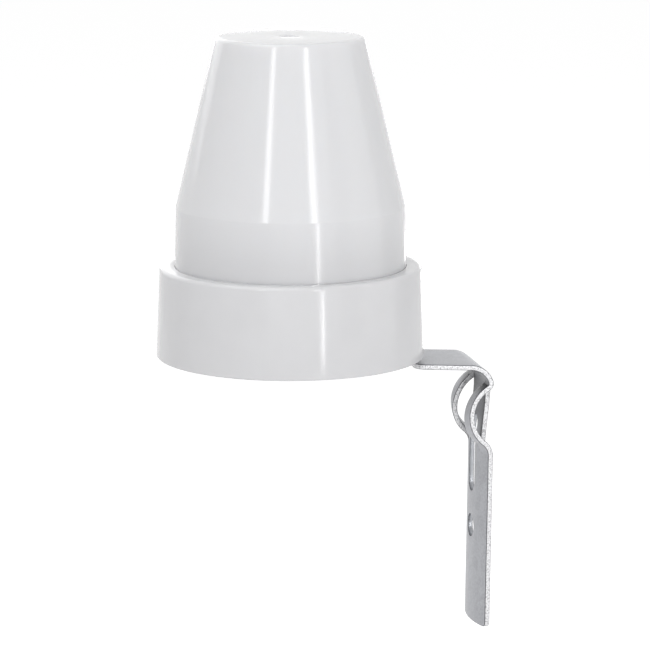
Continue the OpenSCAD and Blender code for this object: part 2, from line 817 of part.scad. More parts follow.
// Axial part along Y on the board: round body, straight wire and its two turned-down legs
module axial_part(at, d, l, pitch, wire_r, waist) {
    z = board_top + axial_lift + d / 2;
    translate([at[0], at[1] - l / 2, z]) rotate([-90, 0, 0]) difference() {
        cylinder(d = d, h = l);
        if (waist > 0)
            translate([0, 0, l / 4])
                ring(d, d / 2 - waist, l / 2);
    }
    translate([at[0], at[1] - pitch / 2, z]) rotate([-90, 0, 0])
        cylinder(r = wire_r * axial_wire_share, h = pitch);
    leads(pair_y(at, pitch, wire_r), z + wire_r);
}

module rectifier_diodes() {
    color("dimgray") for (at = diode_places)
        axial_part(at, diode_d, diode_l, diode_pitch, thick_lead_r, 0);
}

module zener_diode() {
    color("orangered") axial_part(zener_at, zener_d, zener_l, zener_pitch, sensor_lead_r, 0);
}

module resistors() {
    color("tan") for (at = resistor_places)
        axial_part(at, resistor_d, resistor_l, resistor_pitch, thin_lead_r, resistor_waist);
}

module transistor() {
    flat_y = transistor_d * transistor_flat_share;
    color("dimgray") {
        translate([transistor_at[0], transistor_at[1], board_top + transistor_lift])
            difference() {
                cylinder(d = transistor_d, h = transistor_h);
                translate([-transistor_d, flat_y, -over])
                    cube([2 * transistor_d, transistor_d, transistor_h + 2 * over]);
            }
        leads(transistor_leads, board_top + transistor_lift + sensor_lead_r);
    }
}

module varistor() {
    half = varistor_t / 2 - varistor_edge_r;
    rim_r = varistor_d / 2 - varistor_edge_r;
    z = board_top + varistor_lift + varistor_d / 2;
    color("steelblue") {
        translate([varistor_at[0], varistor_at[1], z]) rotate([90, 0, varistor_turn])
            rotate_extrude() {
                translate([0, -varistor_t / 2]) square([rim_r, varistor_t]);
                translate([0, -half]) square([varistor_d / 2, 2 * half]);
                for (side = [-1, 1]) translate([rim_r, side * half]) circle(varistor_edge_r);
            }
        leads(varistor_leads, z - varistor_d / 2 + varistor_edge_r);
    }
}

module solder_joints() {
    color("lightgray") for (p = all_leads)
        translate([p[0], p[1], board_z - solder_h]) difference() {
            cylinder(r1 = p[2] + fit_gap * 3, r2 = solder_r, h = solder_h);
            translate([0, 0, -over]) cylinder(r = p[2] + fit_gap, h = solder_h + 2 * over);
        }
}

place() dome_cover();
place() base_cup();
place() cover_gasket();
place() cable_grommet();
place() bracket();
place() bracket_screw();
place() bracket_washer();
place() spring_washer();
place() bracket_nut();
place() circuit_board();
place() board_screws();
place() relay_case();
place() relay_base();
place() relay_pins();
place() relay_coil();
place() relay_yoke();
place() relay_armature();
place() relay_contacts();
place() light_sensor();
place() sensor_sleeves();
place() film_capacitor();
place() smoothing_capacitor();
place() delay_capacitor();
place() rectifier_diodes();
place() zener_diode();
place() transistor();
place() resistors();
place() varistor();
place() solder_joints();
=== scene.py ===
"""Looks of a light sensor switch: a milky cover and a round base on a bent galvanised bracket.

Sizes are millimetres in the head's frame: the sensor's axis is Z, the base's rim lies on z = 0
and the bracket leaves towards +X. to_model() turns them into metres in the model's own frame.
"""

import cmath
import logging
import math
from dataclasses import dataclass, field
from enum import Enum, IntEnum
from functools import cache

import bmesh
import bpy
from mathutils import Matrix, Vector

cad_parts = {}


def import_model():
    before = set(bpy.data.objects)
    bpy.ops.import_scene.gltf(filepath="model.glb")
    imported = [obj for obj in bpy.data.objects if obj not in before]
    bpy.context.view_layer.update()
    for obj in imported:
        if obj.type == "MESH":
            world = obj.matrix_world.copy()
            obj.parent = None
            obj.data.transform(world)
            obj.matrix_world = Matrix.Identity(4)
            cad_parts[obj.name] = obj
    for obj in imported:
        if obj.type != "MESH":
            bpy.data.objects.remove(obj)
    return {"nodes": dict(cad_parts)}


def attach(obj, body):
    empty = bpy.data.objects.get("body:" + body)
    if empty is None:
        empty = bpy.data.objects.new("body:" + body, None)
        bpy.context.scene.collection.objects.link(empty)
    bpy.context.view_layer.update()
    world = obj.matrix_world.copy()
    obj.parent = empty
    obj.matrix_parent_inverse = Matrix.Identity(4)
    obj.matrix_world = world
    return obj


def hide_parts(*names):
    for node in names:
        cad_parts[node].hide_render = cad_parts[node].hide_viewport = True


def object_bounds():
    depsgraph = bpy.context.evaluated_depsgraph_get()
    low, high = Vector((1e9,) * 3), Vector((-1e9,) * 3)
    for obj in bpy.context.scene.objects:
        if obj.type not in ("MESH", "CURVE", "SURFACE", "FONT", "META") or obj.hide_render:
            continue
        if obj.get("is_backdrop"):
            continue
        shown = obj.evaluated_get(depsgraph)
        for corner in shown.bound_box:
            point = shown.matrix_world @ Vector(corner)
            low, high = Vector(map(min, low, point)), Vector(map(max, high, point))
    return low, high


LOG = logging.getLogger("light_sensor_switch")
MM = 0.001

# The model's origin, the middle of the fixing hole, in the head's frame
ORIGIN = Vector((37.9446, 0.0, -37.3))

# Heights: the base's floor and collar, the board's faces, the parts' feet, the leads' lower ends
FLOOR_Z = 6.0
FLOOR_TOP = 8.0
COLLAR_TOP = 18.25
BOARD_Z = 13.5
BOARD_TOP = 15.1
PART_Z = BOARD_TOP + 0.3
LEAD_END = 12.2

# The board, and the circle and the angles of the posts that carry it
BOARD_R = 20.5
POST_R = BOARD_R * 0.84
POST_ANGLES = (60.0, 180.0, 300.0)

# The pivot screw's place, the corners of its nut's pocket, and half the bracket's width
PIVOT_X = 12.0
NUT_FIT_R = 3.6 / math.cos(math.radians(30))
HALF_W = 8.4

Pair = tuple[float, float]
Place = tuple[float, float]
Profile = list[Place]
Point = tuple[float, float, float]
MeshData = tuple[list[Vector], list[tuple[int, ...]]]
Object = bpy.types.Object
Socket = bpy.types.NodeSocket
Tree = bpy.types.NodeTree
Node = bpy.types.Node


class Body(Enum):
    """The bodies of the model that the pieces ride on."""

    HEAD = "head"
    COVER = "cover"
    BRACKET = "bracket_arm"


# Small helpers


def to_model(x: float, y: float, z: float) -> Vector:
    """A place in the head's frame, in millimetres, as metres in the model's frame."""
    return (Vector((x, y, z)) - ORIGIN) * MM


def linear(code: str) -> tuple[float, float, float, float]:
    """An sRGB hex colour such as "#e6e8ea" as linear RGBA."""
    shares = [int(code[i : i + 2], 16) / 255 for i in (1, 3, 5)]
    straight = [c / 12.92 if c <= 0.04045 else ((c + 0.055) / 1.055) ** 2.4 for c in shares]
    return (*straight, 1.0)


def add_node(
    tree: Tree, kind: str, inputs: dict[str | int, object] | None = None, **settings: object
) -> Node:
    """Adds a node with its settings, and sets or links its inputs.

    Args:
        tree: The tree it goes into.
        kind: The node's type, such as "ShaderNodeBump".
        inputs: For each input, by name or number, its value or the output that feeds it.
        **settings: Attributes of the node.

    Returns:
        The new node.
    """
    node = tree.nodes.new(kind)
    for key, value in settings.items():
        setattr(node, key, value)
    for key, value in (inputs or {}).items():
        if isinstance(value, Socket):
            tree.links.new(value, node.inputs[key])
        else:
            node.inputs[key].default_value = value
    return node


def shade(mesh: bpy.types.Mesh, sharp_deg: float) -> None:
    """Shades a mesh smooth, and keeps the edges sharper than sharp_deg crisp."""
    mesh.shade_smooth()
    mesh.set_sharp_from_angle(angle=math.radians(sharp_deg))


def add_object(name: str, mesh: bpy.types.Mesh) -> Object:
    """Makes an object of a mesh, at the origin and linked to the scene."""
    piece = bpy.data.objects.new(name, mesh)
    bpy.context.scene.collection.objects.link(piece)
    return piece


def point_outwards(mesh: bpy.types.Mesh) -> None:
    """Merges a closed mesh's doubled vertices and turns its faces outwards."""
    shell = bmesh.new()
    shell.from_mesh(mesh)
    bmesh.ops.remove_doubles(shell, verts=shell.verts, dist=1e-7)
    bmesh.ops.recalc_face_normals(shell, faces=shell.faces)
    shell.to_mesh(mesh)
    shell.free()


def add_piece(
    name: str,
    vertices: list[Vector],
    faces: list[tuple[int, ...]],
    sharp_deg: float = 35.0,
) -> Object:
    """Makes a closed piece from vertices in the model's frame, its faces pointing outwards.

    Args:
        name: The piece's name.
        vertices: Its vertices in metres; those at one place are merged.
        faces: Its faces, as indices of the vertices.
        sharp_deg: Edges that turn more than this stay sharp.

    Returns:
        The new object, at the origin and linked to the scene.
    """
    mesh = bpy.data.meshes.new(name)
    mesh.from_pydata(vertices, [], faces)
    point_outwards(mesh)
    shade(mesh, sharp_deg)
    return add_object(name, mesh)


def rounded(corners: list[tuple[float, float, float]], steps: int = 6) -> Profile:
    """Rounds the corners of a closed outline.

    Args:
        corners: Each corner's two coordinates and the radius it gets, or 0.
        steps: The number of segments in each rounded corner.

    Returns:
        The outline's points.
    """
    places = [complex(a, b) for a, b, _ in corners]
    points = []
    for i, (here, corner) in enumerate(zip(places, corners)):
        before = places[i - 1] - here
        after = places[(i + 1) % len(places)] - here
        if corner[2] == 0:
            points.append(here)
            continue
        half = abs(cmath.phase(after / before)) / 2
        limit = min(abs(before), abs(after)) / 2.05  # a little under half of the shorter side
        reach = min(corner[2] / math.tan(half), limit)
        start = here + before / abs(before) * reach
        middle = before / abs(before) + after / abs(after)
        centre = here + middle / abs(middle) * reach / math.cos(half)
        arm = start - centre
        sweep = cmath.phase((here + after / abs(after) * reach - centre) / arm)
        points += [centre + arm * cmath.rect(1, sweep * k / steps) for k in range(steps + 1)]
    return [(p.real, p.imag) for p in points]


def turned_mesh(outline: Profile, centre: Point = (0, 0, 0), segments: int = 128) -> MeshData:
    """Turns a closed outline (radius, height) about an upright axis.

    Args:
        outline: The outline's points; those on the axis become poles.
        centre: A point of the axis, whose height is added to the outline's.
        segments: The number of segments round the axis.

    Returns:
        The vertices and the faces for add_piece().
    """
    vertices = []
    for radius, height in outline:
        for k in range(segments):
            turn = math.tau * k / segments
            vertices.append(
                to_model(
                    centre[0] + radius * math.cos(turn),
                    centre[1] + radius * math.sin(turn),
                    centre[2] + height,
                )
            )
    faces = []
    count = len(outline)
    for i in range(count):
        after = (i + 1) % count
        if outline[i][0] == 0 and outline[after][0] == 0:
            continue
        for k in range(segments):
            beside = (k + 1) % segments
            faces.append(
                (
                    i * segments + k,
                    i * segments + beside,
                    after * segments + beside,
                    after * segments + k,
                )
            )
    return vertices, faces


def prism_mesh(outline: Profile, bottom: float, top: float) -> MeshData:
    """An upright prism over a closed outline (x, y), between two heights."""
    count = len(outline)
    vertices = [to_model(x, y, z) for z in (bottom, top) for x, y in outline]
    sides = [(i, (i + 1) % count, (i + 1) % count + count, i + count) for i in range(count)]
    return vertices, [tuple(range(count)), tuple(range(count, 2 * count)), *sides]


def rounded_box(
    centre: Place, size: Place, radius: float, turn_deg: float = 0.0, steps: int = 5
) -> Profile:
    """The outline of an upright box with rounded corners, turned about its centre."""
    a, b = size[0] / 2, size[1] / 2
    corners = [(a, b, radius), (-a, b, radius), (-a, -b, radius), (a, -b, radius)]
    turn = cmath.rect(1, math.radians(turn_deg))
    points = [complex(x, y) * turn + complex(*centre) for x, y in rounded(corners, steps)]
    return [(p.real, p.imag) for p in points]


def circle(centre: Place, radius: float, segments: int = 48) -> Profile:
    """The outline of a circle."""
    turns = [math.tau * k / segments for k in range(segments)]
    return [(centre[0] + radius * math.cos(t), centre[1] + radius * math.sin(t)) for t in turns]


def baked(piece: Object) -> Object:
    """Turns a piece with its modifiers into a plain mesh."""
    graph = bpy.context.evaluated_depsgraph_get()
    mesh = bpy.data.meshes.new_from_object(
        piece.evaluated_get(graph), preserve_all_data_layers=True, depsgraph=graph
    )
    piece.modifiers.clear()
    mesh.name = piece.name
    piece.data = mesh
    return piece


def combine(piece: Object, others: list[Object], operation: str) -> Object:
    """Joins the other solids to a piece, cuts them out of it or keeps what they share.

    Args:
        piece: The solid that is kept.
        others: The solids that are used up.
        operation: "UNION", "DIFFERENCE" or "INTERSECT".

    Returns:
        The piece.
    """
    for other in others:
        step = piece.modifiers.new("solid", "BOOLEAN")
        step.operation = operation
        step.solver = "EXACT"
        step.object = other
    baked(piece)
    for other in others:
        bpy.data.objects.remove(other)
    return piece


def cut(piece: Object, solid: MeshData) -> Object:
    """Cuts one solid out of a piece."""
    return combine(piece, [add_piece("cutter", *solid)], "DIFFERENCE")


def soften(piece: Object, width: float, turn: float = 40) -> None:
    """Rounds a piece's edges that turn more than turn degrees, by a width in millimetres."""
    step = piece.modifiers.new("edges", "BEVEL")
    step.width = width * MM
    step.segments = 3
    step.limit_method = "ANGLE"
    step.angle_limit = math.radians(turn)
    step.harden_normals = False
    baked(piece)
    shade(piece.data, turn)


def add_local(name: str, mesh: MeshData, turn: Matrix | None = None) -> Object:
    """Makes a solid that is drawn about the head's origin into one about its own origin.

    Args:
        name: The solid's name.
        mesh: Its vertices and faces, from turned_mesh() or prism_mesh().
        turn: A turn about the origin.

    Returns:
        The solid, for copies().
    """
    piece = add_piece(name, *mesh)
    piece.data.transform(Matrix.Translation(ORIGIN * MM))
    if turn is not None:
        piece.data.transform(turn)
    return piece


def plus(centre: Place, reach: float, width: float, radius: float = 0.08) -> Profile:
    """The outline of an upright cross recess with rounded corners."""
    a, b = reach / 2, width / 2
    quarter = [(a, -b, radius), (a, b, radius), (b, b, radius / 2)]
    corners = []
    for k in range(4):
        turn = 1j**k
        for x, y, r in quarter:
            spot = complex(x, y) * turn + complex(*centre)
            corners.append((spot.real, spot.imag, r))
    return rounded(corners, 3)


def thread(
    first: float, last: float, crest: float, root: float, pitch: float
) -> list[tuple[float, float, float]]:
    """The corners of a screw thread's profile (radius, height) between two heights."""
    turns = int(abs(last - first) / pitch)
    step = math.copysign(pitch, last - first)
    corners = []
    for k in range(turns):
        z = first + step * k
        corners += [(root, z + step * 0.12, 0), (root, z + step * 0.3, 0)]
        corners += [(crest, z + step * 0.62, 0), (crest, z + step * 0.8, 0)]
    return corners


def on_board(x_share: float, y_share: float) -> Place:
    """A place on the board, from its shares of the board's radius."""
    return BOARD_R * x_share, BOARD_R * y_share


def polar(radius: float, angle: float, centre: Place = (0.0, 0.0)) -> Place:
    """The place at a radius and an angle in degrees from a centre."""
    spot = complex(*centre) + cmath.rect(radius, math.radians(angle))
    return spot.real, spot.imag


def noise(
    tree: Tree, where: Socket, size: float, detail: float = 2.0, rough: float = 0.5
) -> Socket:
    """A cloudy pattern from 0 to 1, its patches of a size in millimetres."""
    scale = 1 / (size * MM)
    inputs = {"Vector": where, "Scale": scale, "Detail": detail, "Roughness": rough}
    return add_node(tree, "ShaderNodeTexNoise", inputs).outputs["Fac"]


def band_scale(pitch: float) -> float:
    """The wave texture's scale for bands at a pitch in millimetres: it draws 20 in 2 pi."""
    return math.tau / 20 / (pitch * MM)


def remap(tree: Tree, value: Socket, start: Pair, end: Pair = (0.0, 1.0)) -> Socket:
    """A value stretched from one range to another, and kept inside it."""
    limits = dict(zip(("From Min", "From Max", "To Min", "To Max"), (*start, *end)))
    node = add_node(tree, "ShaderNodeMapRange", {"Value": value, **limits})
    return node.outputs["Result"]


def axis_of(tree: Tree, where: Socket, axis: str) -> Socket:
    """One coordinate, "X", "Y" or "Z", of a place."""
    return add_node(tree, "ShaderNodeSeparateXYZ", {"Vector": where}).outputs[axis]


def dress(piece: Object, *finishes: "Finish") -> None:
    """Gives a piece its finishes in place of any it has.

    Clearing the materials would also put every face back on the first one, so a piece that
    has none yet keeps its faces' numbers.
    """
    if piece.data.materials:
        piece.data.materials.clear()
    for finish in finishes:
        piece.data.materials.append(made(finish))


def place_piece(piece: Object, body: Body, slot: str, *nodes: str) -> None:
    """Sets a finished piece on its body, in the place of the nodes that it stands for.

    Args:
        piece: The finished piece.
        body: The body that it moves with.
        slot: The name of the piece's material slot; not used.
        *nodes: The nodes of the frame that it replaces.
    """
    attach(piece, body.value)
    if nodes:
        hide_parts(*nodes)
    LOG.info("%s: %d faces, on %s", piece.name, len(piece.data.polygons), body.value)


# Finishes


@dataclass(frozen=True)
class Finish:
    """A plain finish: its name, colour and gloss. The others add their own surface to it."""

    name: str
    colour: str
    roughness: float
    metallic: float = 0.0
    ior: float = 1.5

    def build(self) -> bpy.types.Material:
        """Makes the material."""
        material = bpy.data.materials.new(self.name)
        material.use_nodes = True
        tree = material.node_tree
        tree.nodes.clear()
        shader = add_node(
            tree,
            "ShaderNodeBsdfPrincipled",
            {
                "Base Color": linear(self.colour),
                "Roughness": self.roughness,
                "Metallic": self.metallic,
            },
        )
        if self.metallic == 0:
            shader.inputs["IOR"].default_value = self.ior
        add_node(tree, "ShaderNodeOutputMaterial", {"Surface": shader.outputs["BSDF"]})
        where = add_node(tree, "ShaderNodeTexCoord").outputs["Object"]
        self.surface(tree, shader, where)
        return material

    def surface(self, tree: Tree, shader: Node, where: Socket) -> None:
        """Adds what makes this finish more than a flat colour."""
        self.mottle(tree, shader, where, size=2.0, depth=0.04)

    def mottle(self, tree: Tree, shader: Node, where: Socket, size: float, depth: float) -> Socket:
        """Varies the colour softly.

        Args:
            tree: The material's tree.
            shader: Its shader.
            where: The coordinates of the pattern.
            size: The size of the patches, in millimetres.
            depth: How much darker and lighter they are, as a share.

        Returns:
            The pattern, for use elsewhere.
        """
        patches = noise(tree, where, size, 3.0)
        self.tones(tree, shader, patches, (1 - depth, 1 + depth), (0.3, 0.7))
        return patches

    def tones(
        self,
        tree: Tree,
        shader: Node,
        pattern: Socket,
        shares: Pair,
        ends: Pair = (0.0, 1.0),
        high: str = "",
    ) -> Node:
        """Blends between two tones of the colour along a pattern.

        Args:
            tree: The material's tree.
            shader: Its shader, whose colour is fed.
            pattern: The pattern, from 0 to 1.
            shares: The colour's share in the low tone and in the high one.
            ends: Where in the pattern the blend begins and ends.
            high: Another colour for the high tone.

        Returns:
            The ramp node.
        """
        ramp = add_node(tree, "ShaderNodeValToRGB", {"Fac": pattern})
        for stop, share, end, code in zip(
            ramp.color_ramp.elements, shares, ends, (self.colour, high or self.colour)
        ):
            stop.position = end
            stop.color = (*[min(1.0, c * share) for c in linear(code)[:3]], 1.0)
        tree.links.new(ramp.outputs["Color"], shader.inputs["Base Color"])
        return ramp

    def bump(
        self, tree: Tree, shader: Node, height: Socket, depth: float, after: Socket | None = None
    ) -> Node:
        """Raises the surface by a height of a few micrometres to a tenth of a millimetre.

        Args:
            tree: The material's tree.
            shader: Its shader.
            height: The pattern, from 0 to 1.
            depth: The height of 1, in millimetres.
            after: The normal of an earlier bump that this one is laid over.

        Returns:
            The bump node.
        """
        inputs = {"Height": height, "Distance": depth * MM, "Strength": 1.0}
        if after is not None:
            inputs["Normal"] = after
        node = add_node(tree, "ShaderNodeBump", inputs)
        tree.links.new(node.outputs["Normal"], shader.inputs["Normal"])
        return node


@cache
def made(finish: Finish) -> bpy.types.Material:
    """A finish's material, which is made the first time that it is asked for."""
    return finish.build()


@dataclass(frozen=True)
class MouldedPlastic(Finish):
    """Injection-moulded plastic: a glossy skin with the faint waves of the tool's polish.

    Milky polypropylene also lets light into the wall, which softens its shading. The fine
    grit breaks up the highlights, as on a moulding from a worn tool.
    """

    depth_mm: float = 0.0
    depth_share: float = 0.0
    wave_mm: float = 3.0
    wave_depth: float = 0.004
    grit_mm: float = 0.35
    grit_depth: float = 0.0015

    def surface(self, tree: Tree, shader: Node, where: Socket) -> None:
        """Adds the waves, the grit and the light inside the wall."""
        self.mottle(tree, shader, where, size=6.0, depth=0.012)
        waves = noise(tree, where, self.wave_mm)
        grit = noise(tree, where, self.grit_mm, 1.0)
        wavy = self.bump(tree, shader, waves, self.wave_depth)
        self.bump(tree, shader, grit, self.grit_depth, wavy.outputs["Normal"])
        if self.depth_share > 0:
            shader.inputs["Subsurface Weight"].default_value = self.depth_share
            shader.inputs["Subsurface Radius"].default_value = (1.0, 0.95, 0.9)
            shader.inputs["Subsurface Scale"].default_value = self.depth_mm * MM


@dataclass(frozen=True)
class MilkyCover(MouldedPlastic):
    """The cover's milky plastic, with painted shade that greys it towards its foot.

    Light comes through the thin cone from all sides, but the skirt stands in front of the parts
    and in the base's socket, so its foot lies in shade; that shade is painted into its colour
    as grey. Heights are in the head's frame.
    """

    foot_z: float = 18.0
    clear_z: float = 31.0
    foot_shade_share: float = 0.87

    def surface(self, tree: Tree, shader: Node, where: Socket) -> None:
        """Adds the painted shade at the foot over the moulded skin."""
        super().surface(tree, shader, where)
        # Painted shade: the colour greys from clear_z down to foot_z
        ends = ((self.foot_z - ORIGIN.z) * MM, (self.clear_z - ORIGIN.z) * MM)
        height = remap(tree, axis_of(tree, where, "Z"), ends)
        ramp = self.tones(tree, shader, height, (self.foot_shade_share, 1.0))
        ramp.color_ramp.interpolation = "EASE"


@dataclass(frozen=True)
class BandedBody(MouldedPlastic):
    """A small lacquered or moulded body with painted bands across it.

    Each band is its start and end along Y, in millimetres from the body's middle, and its
    colour.
    """

    middle: float = 0.0
    bands: tuple[tuple[float, float, str], ...] = ()
    reach: float = 4.0

    def surface(self, tree: Tree, shader: Node, where: Socket) -> None:
        """Adds the bands over the moulded skin."""
        super().surface(tree, shader, where)
        ends = ((self.middle - self.reach) * MM, (self.middle + self.reach) * MM)
        along = remap(tree, axis_of(tree, where, "Y"), ends)
        ramp = add_node(tree, "ShaderNodeValToRGB", {"Fac": along})
        ramp.color_ramp.interpolation = "CONSTANT"
        for stop in ramp.color_ramp.elements:
            stop.color = linear(self.colour)
        for start, end, colour in self.bands:
            for y, tone in ((start, colour), (end, self.colour)):
                stop = ramp.color_ramp.elements.new((y + self.reach) / (2 * self.reach))
                stop.color = linear(tone)
        tree.links.new(ramp.outputs["Color"], shader.inputs["Base Color"])


@dataclass(frozen=True)
class StripedSleeve(MouldedPlastic):
    """A shrunk sleeve with a paler stripe on the side where X is largest."""

    stripe: str = "#8d9299"
    stripe_x: float = 0.0

    def surface(self, tree: Tree, shader: Node, where: Socket) -> None:
        """Adds the stripe over the sleeve's skin."""
        super().surface(tree, shader, where)
        beyond = add_node(
            tree,
            "ShaderNodeMath",
            {0: axis_of(tree, where, "X"), 1: (self.stripe_x - ORIGIN.x) * MM},
            operation="GREATER_THAN",
        )
        self.tones(tree, shader, beyond.outputs[0], (1.0, 1.0), high=self.stripe)


@dataclass(frozen=True)
class GalvanisedSheet(Finish):
    """Zinc-coated sheet steel: rolled grain along the strip under faint frosty spangles.

    Deep in the folds and under the strips, an ambient occlusion node darkens its colour with painted
    shade.
    """

    grain_mm: float = 0.12
    grain_depth: float = 0.0012
    grain_stretch: float = 0.12
    cloud_mm: float = 0.45
    tone_shares: Pair = (0.8, 1.18)
    spangle_mm: float = 2.4
    spangle_share: float = 0.12
    # Painted shade in the folds: how far the occlusion looks, the darkest share, and the occlusion
    # range it spans
    painted_shade_mm: float = 12.0
    painted_shade_share: float = 0.15
    painted_shade_open: Pair = (0.45, 0.95)
    gloss_range: float = 0.07

    def surface(self, tree: Tree, shader: Node, where: Socket) -> None:
        """Adds the spangles, the rolled grain, small dull patches and the painted shade in the folds.
        """
        spangle = add_node(
            tree, "ShaderNodeTexVoronoi", {"Vector": where, "Scale": 1 / (self.spangle_mm * MM)}
        )
        tint = add_node(tree, "ShaderNodeSeparateColor", {"Color": spangle.outputs["Color"]})
        cloud = noise(tree, where, self.cloud_mm, 4.0, 0.7)
        mix = add_node(
            tree,
            "ShaderNodeMix",
            {"Factor": self.spangle_share, "A": cloud, "B": tint.outputs["Red"]},
        )
        ramp = self.tones(tree, shader, mix.outputs["Result"], self.tone_shares, (0.3, 0.7))
        # Painted shade: the colour darkens where an ambient occlusion node finds the sheet closed in
        painted_shade_ao = add_node(
            tree,
            "ShaderNodeAmbientOcclusion",
            {"Distance": self.painted_shade_mm * MM},
            samples=8,
            only_local=True,
        )
        painted_shade_level = remap(tree, painted_shade_ao.outputs["AO"], self.painted_shade_open, (self.painted_shade_share, 1.0))
        painted_shade_colour = add_node(
            tree,
            "ShaderNodeVectorMath",
            {0: ramp.outputs["Color"], "Scale": painted_shade_level},
            operation="SCALE",
        )
        tree.links.new(painted_shade_colour.outputs["Vector"], shader.inputs["Base Color"])
        gloss = (self.roughness - self.gloss_range, self.roughness + self.gloss_range)
        rough = remap(tree, mix.outputs["Result"], (0.0, 1.0), gloss)
        tree.links.new(rough, shader.inputs["Roughness"])
        stretch = add_node(
            tree, "ShaderNodeMapping", {"Vector": where, "Scale": (1.0, 1.0, self.grain_stretch)}
        )
        grain = noise(tree, stretch.outputs["Vector"], self.grain_mm)
        self.bump(tree, shader, grain, self.grain_depth)


@dataclass(frozen=True)
class ShearedEdge(Finish):
    """The punched edge of the sheet: bright zinc smeared over steel, with torn grit."""

    grit_mm: float = 0.35
    grit_depth: float = 0.008
    pit_share: float = 0.4

    def surface(self, tree: Tree, shader: Node, where: Socket) -> None:
        """Adds the torn grit, dark between bright specks."""
        grit = noise(tree, where, self.grit_mm, 3.0, 0.65)
        self.tones(tree, shader, grit, (self.pit_share, 1.0), (0.34, 0.52))
        self.bump(tree, shader, grit, self.grit_depth)


@dataclass(frozen=True)
class Plated(Finish):
    """Zinc or tin plating on small turned and stamped parts, a little uneven in gloss."""

    def surface(self, tree: Tree, shader: Node, where: Socket) -> None:
        """Adds the uneven gloss and fine tool marks."""
        patches = self.mottle(tree, shader, where, size=0.8, depth=0.08)
        gloss = (self.roughness * 0.7, self.roughness * 1.3)
        rough = remap(tree, patches, (0.0, 1.0), gloss)
        tree.links.new(rough, shader.inputs["Roughness"])
        self.bump(tree, shader, noise(tree, where, 0.15), 0.002)


@dataclass(frozen=True)
class Rubber(Finish):
    """Moulded black rubber: matt, with a dusty bloom and a fine pebbled skin."""

    def surface(self, tree: Tree, shader: Node, where: Socket) -> None:
        """Adds the bloom and the pebbled skin."""
        self.mottle(tree, shader, where, size=1.5, depth=0.25)
        self.bump(tree, shader, noise(tree, where, 0.2), 0.006)


@dataclass(frozen=True)
class PaperPhenolic(Finish):
    """Pressed paper and phenolic resin: tan, with fibres that lie along the sheet."""

    def surface(self, tree: Tree, shader: Node, where: Socket) -> None:
        """Adds the fibres, drawn out along X, in the colour and in the skin."""
        stretch = add_node(tree, "ShaderNodeMapping", {"Vector": where, "Scale": (0.2, 1.0, 1.0)})
        along = stretch.outputs["Vector"]
        self.mottle(tree, shader, along, size=0.5, depth=0.14)
        self.bump(tree, shader, noise(tree, along, 0.25, 3.0), 0.003)


@dataclass(frozen=True)
class WoundCopper(Finish):
    """Enamelled copper wire, with rings of painted shade, as between wound turns, at about the pitch
    of the modelled turns.
    """

    pitch_mm: float = 0.25

    def surface(self, tree: Tree, shader: Node, where: Socket) -> None:
        """Adds the rings of painted shade and their grooves, one above the other."""
        # Painted shade: dark rings across the winding stand in for the shade between round turns
        turns = add_node(
            tree,
            "ShaderNodeTexWave",
            {"Vector": where, "Scale": band_scale(self.pitch_mm), "Distortion": 0.6},
            wave_type="BANDS",
            bands_direction="Z",
        )
        self.tones(tree, shader, turns.outputs["Fac"], (0.35, 1.0))
        self.bump(tree, shader, turns.outputs["Fac"], 0.05)


@dataclass(frozen=True)
class ClearMoulding(Finish):
    """Clear tinted polycarbonate: light passes the wall, and flow lines bend it a little."""

    def surface(self, tree: Tree, shader: Node, where: Socket) -> None:
        """Adds the clear wall and its flow lines."""
        shader.inputs["Transmission Weight"].default_value = 0.92
        self.bump(tree, shader, noise(tree, where, 3.5, 1.0), 0.01)


@dataclass(frozen=True)
class WovenSleeve(Finish):
    """Braided glass sleeving: fine diagonal strands, drawn at 0.4 mm so that they show."""

    def surface(self, tree: Tree, shader: Node, where: Socket) -> None:
        """Adds the strands as slanting bands."""
        self.mottle(tree, shader, where, size=0.6, depth=0.06)
        bands = add_node(
            tree,
            "ShaderNodeTexWave",
            {"Vector": where, "Scale": band_scale(0.4), "Distortion": 1.0},
            wave_type="BANDS",
            bands_direction="DIAGONAL",
        )
        self.bump(tree, shader, bands.outputs["Fac"], 0.04)


# Finishes of the head and the bracket
COVER_PLASTIC = MilkyCover(
    "milky_polypropylene", "#e5e5e7", 0.14, depth_mm=3.0, depth_share=0.5, grit_depth=0.0008
)
BASE_PLASTIC = MouldedPlastic(
    "white_polypropylene", "#dcdcde", 0.13, depth_mm=1.2, depth_share=0.15, grit_depth=0.003
)
RUBBER = Rubber("black_moulded_rubber", "#26272a", 0.7)
SHEET = GalvanisedSheet("galvanised_sheet", "#9fa0a4", 0.42, metallic=1.0)
SHEET_EDGE = ShearedEdge("sheared_zinc_edge", "#dedee0", 0.42, metallic=0.5)
SHEET_BURR = Finish("dull_zinc_burr", "#56575b", 0.6, metallic=0.6)
PUNCHED = Plated("punched_hole_wall", "#a0a2a6", 0.3, metallic=1.0)
HARDWARE = Plated("zinc_plated_steel", "#b9bcc1", 0.28, metallic=1.0)

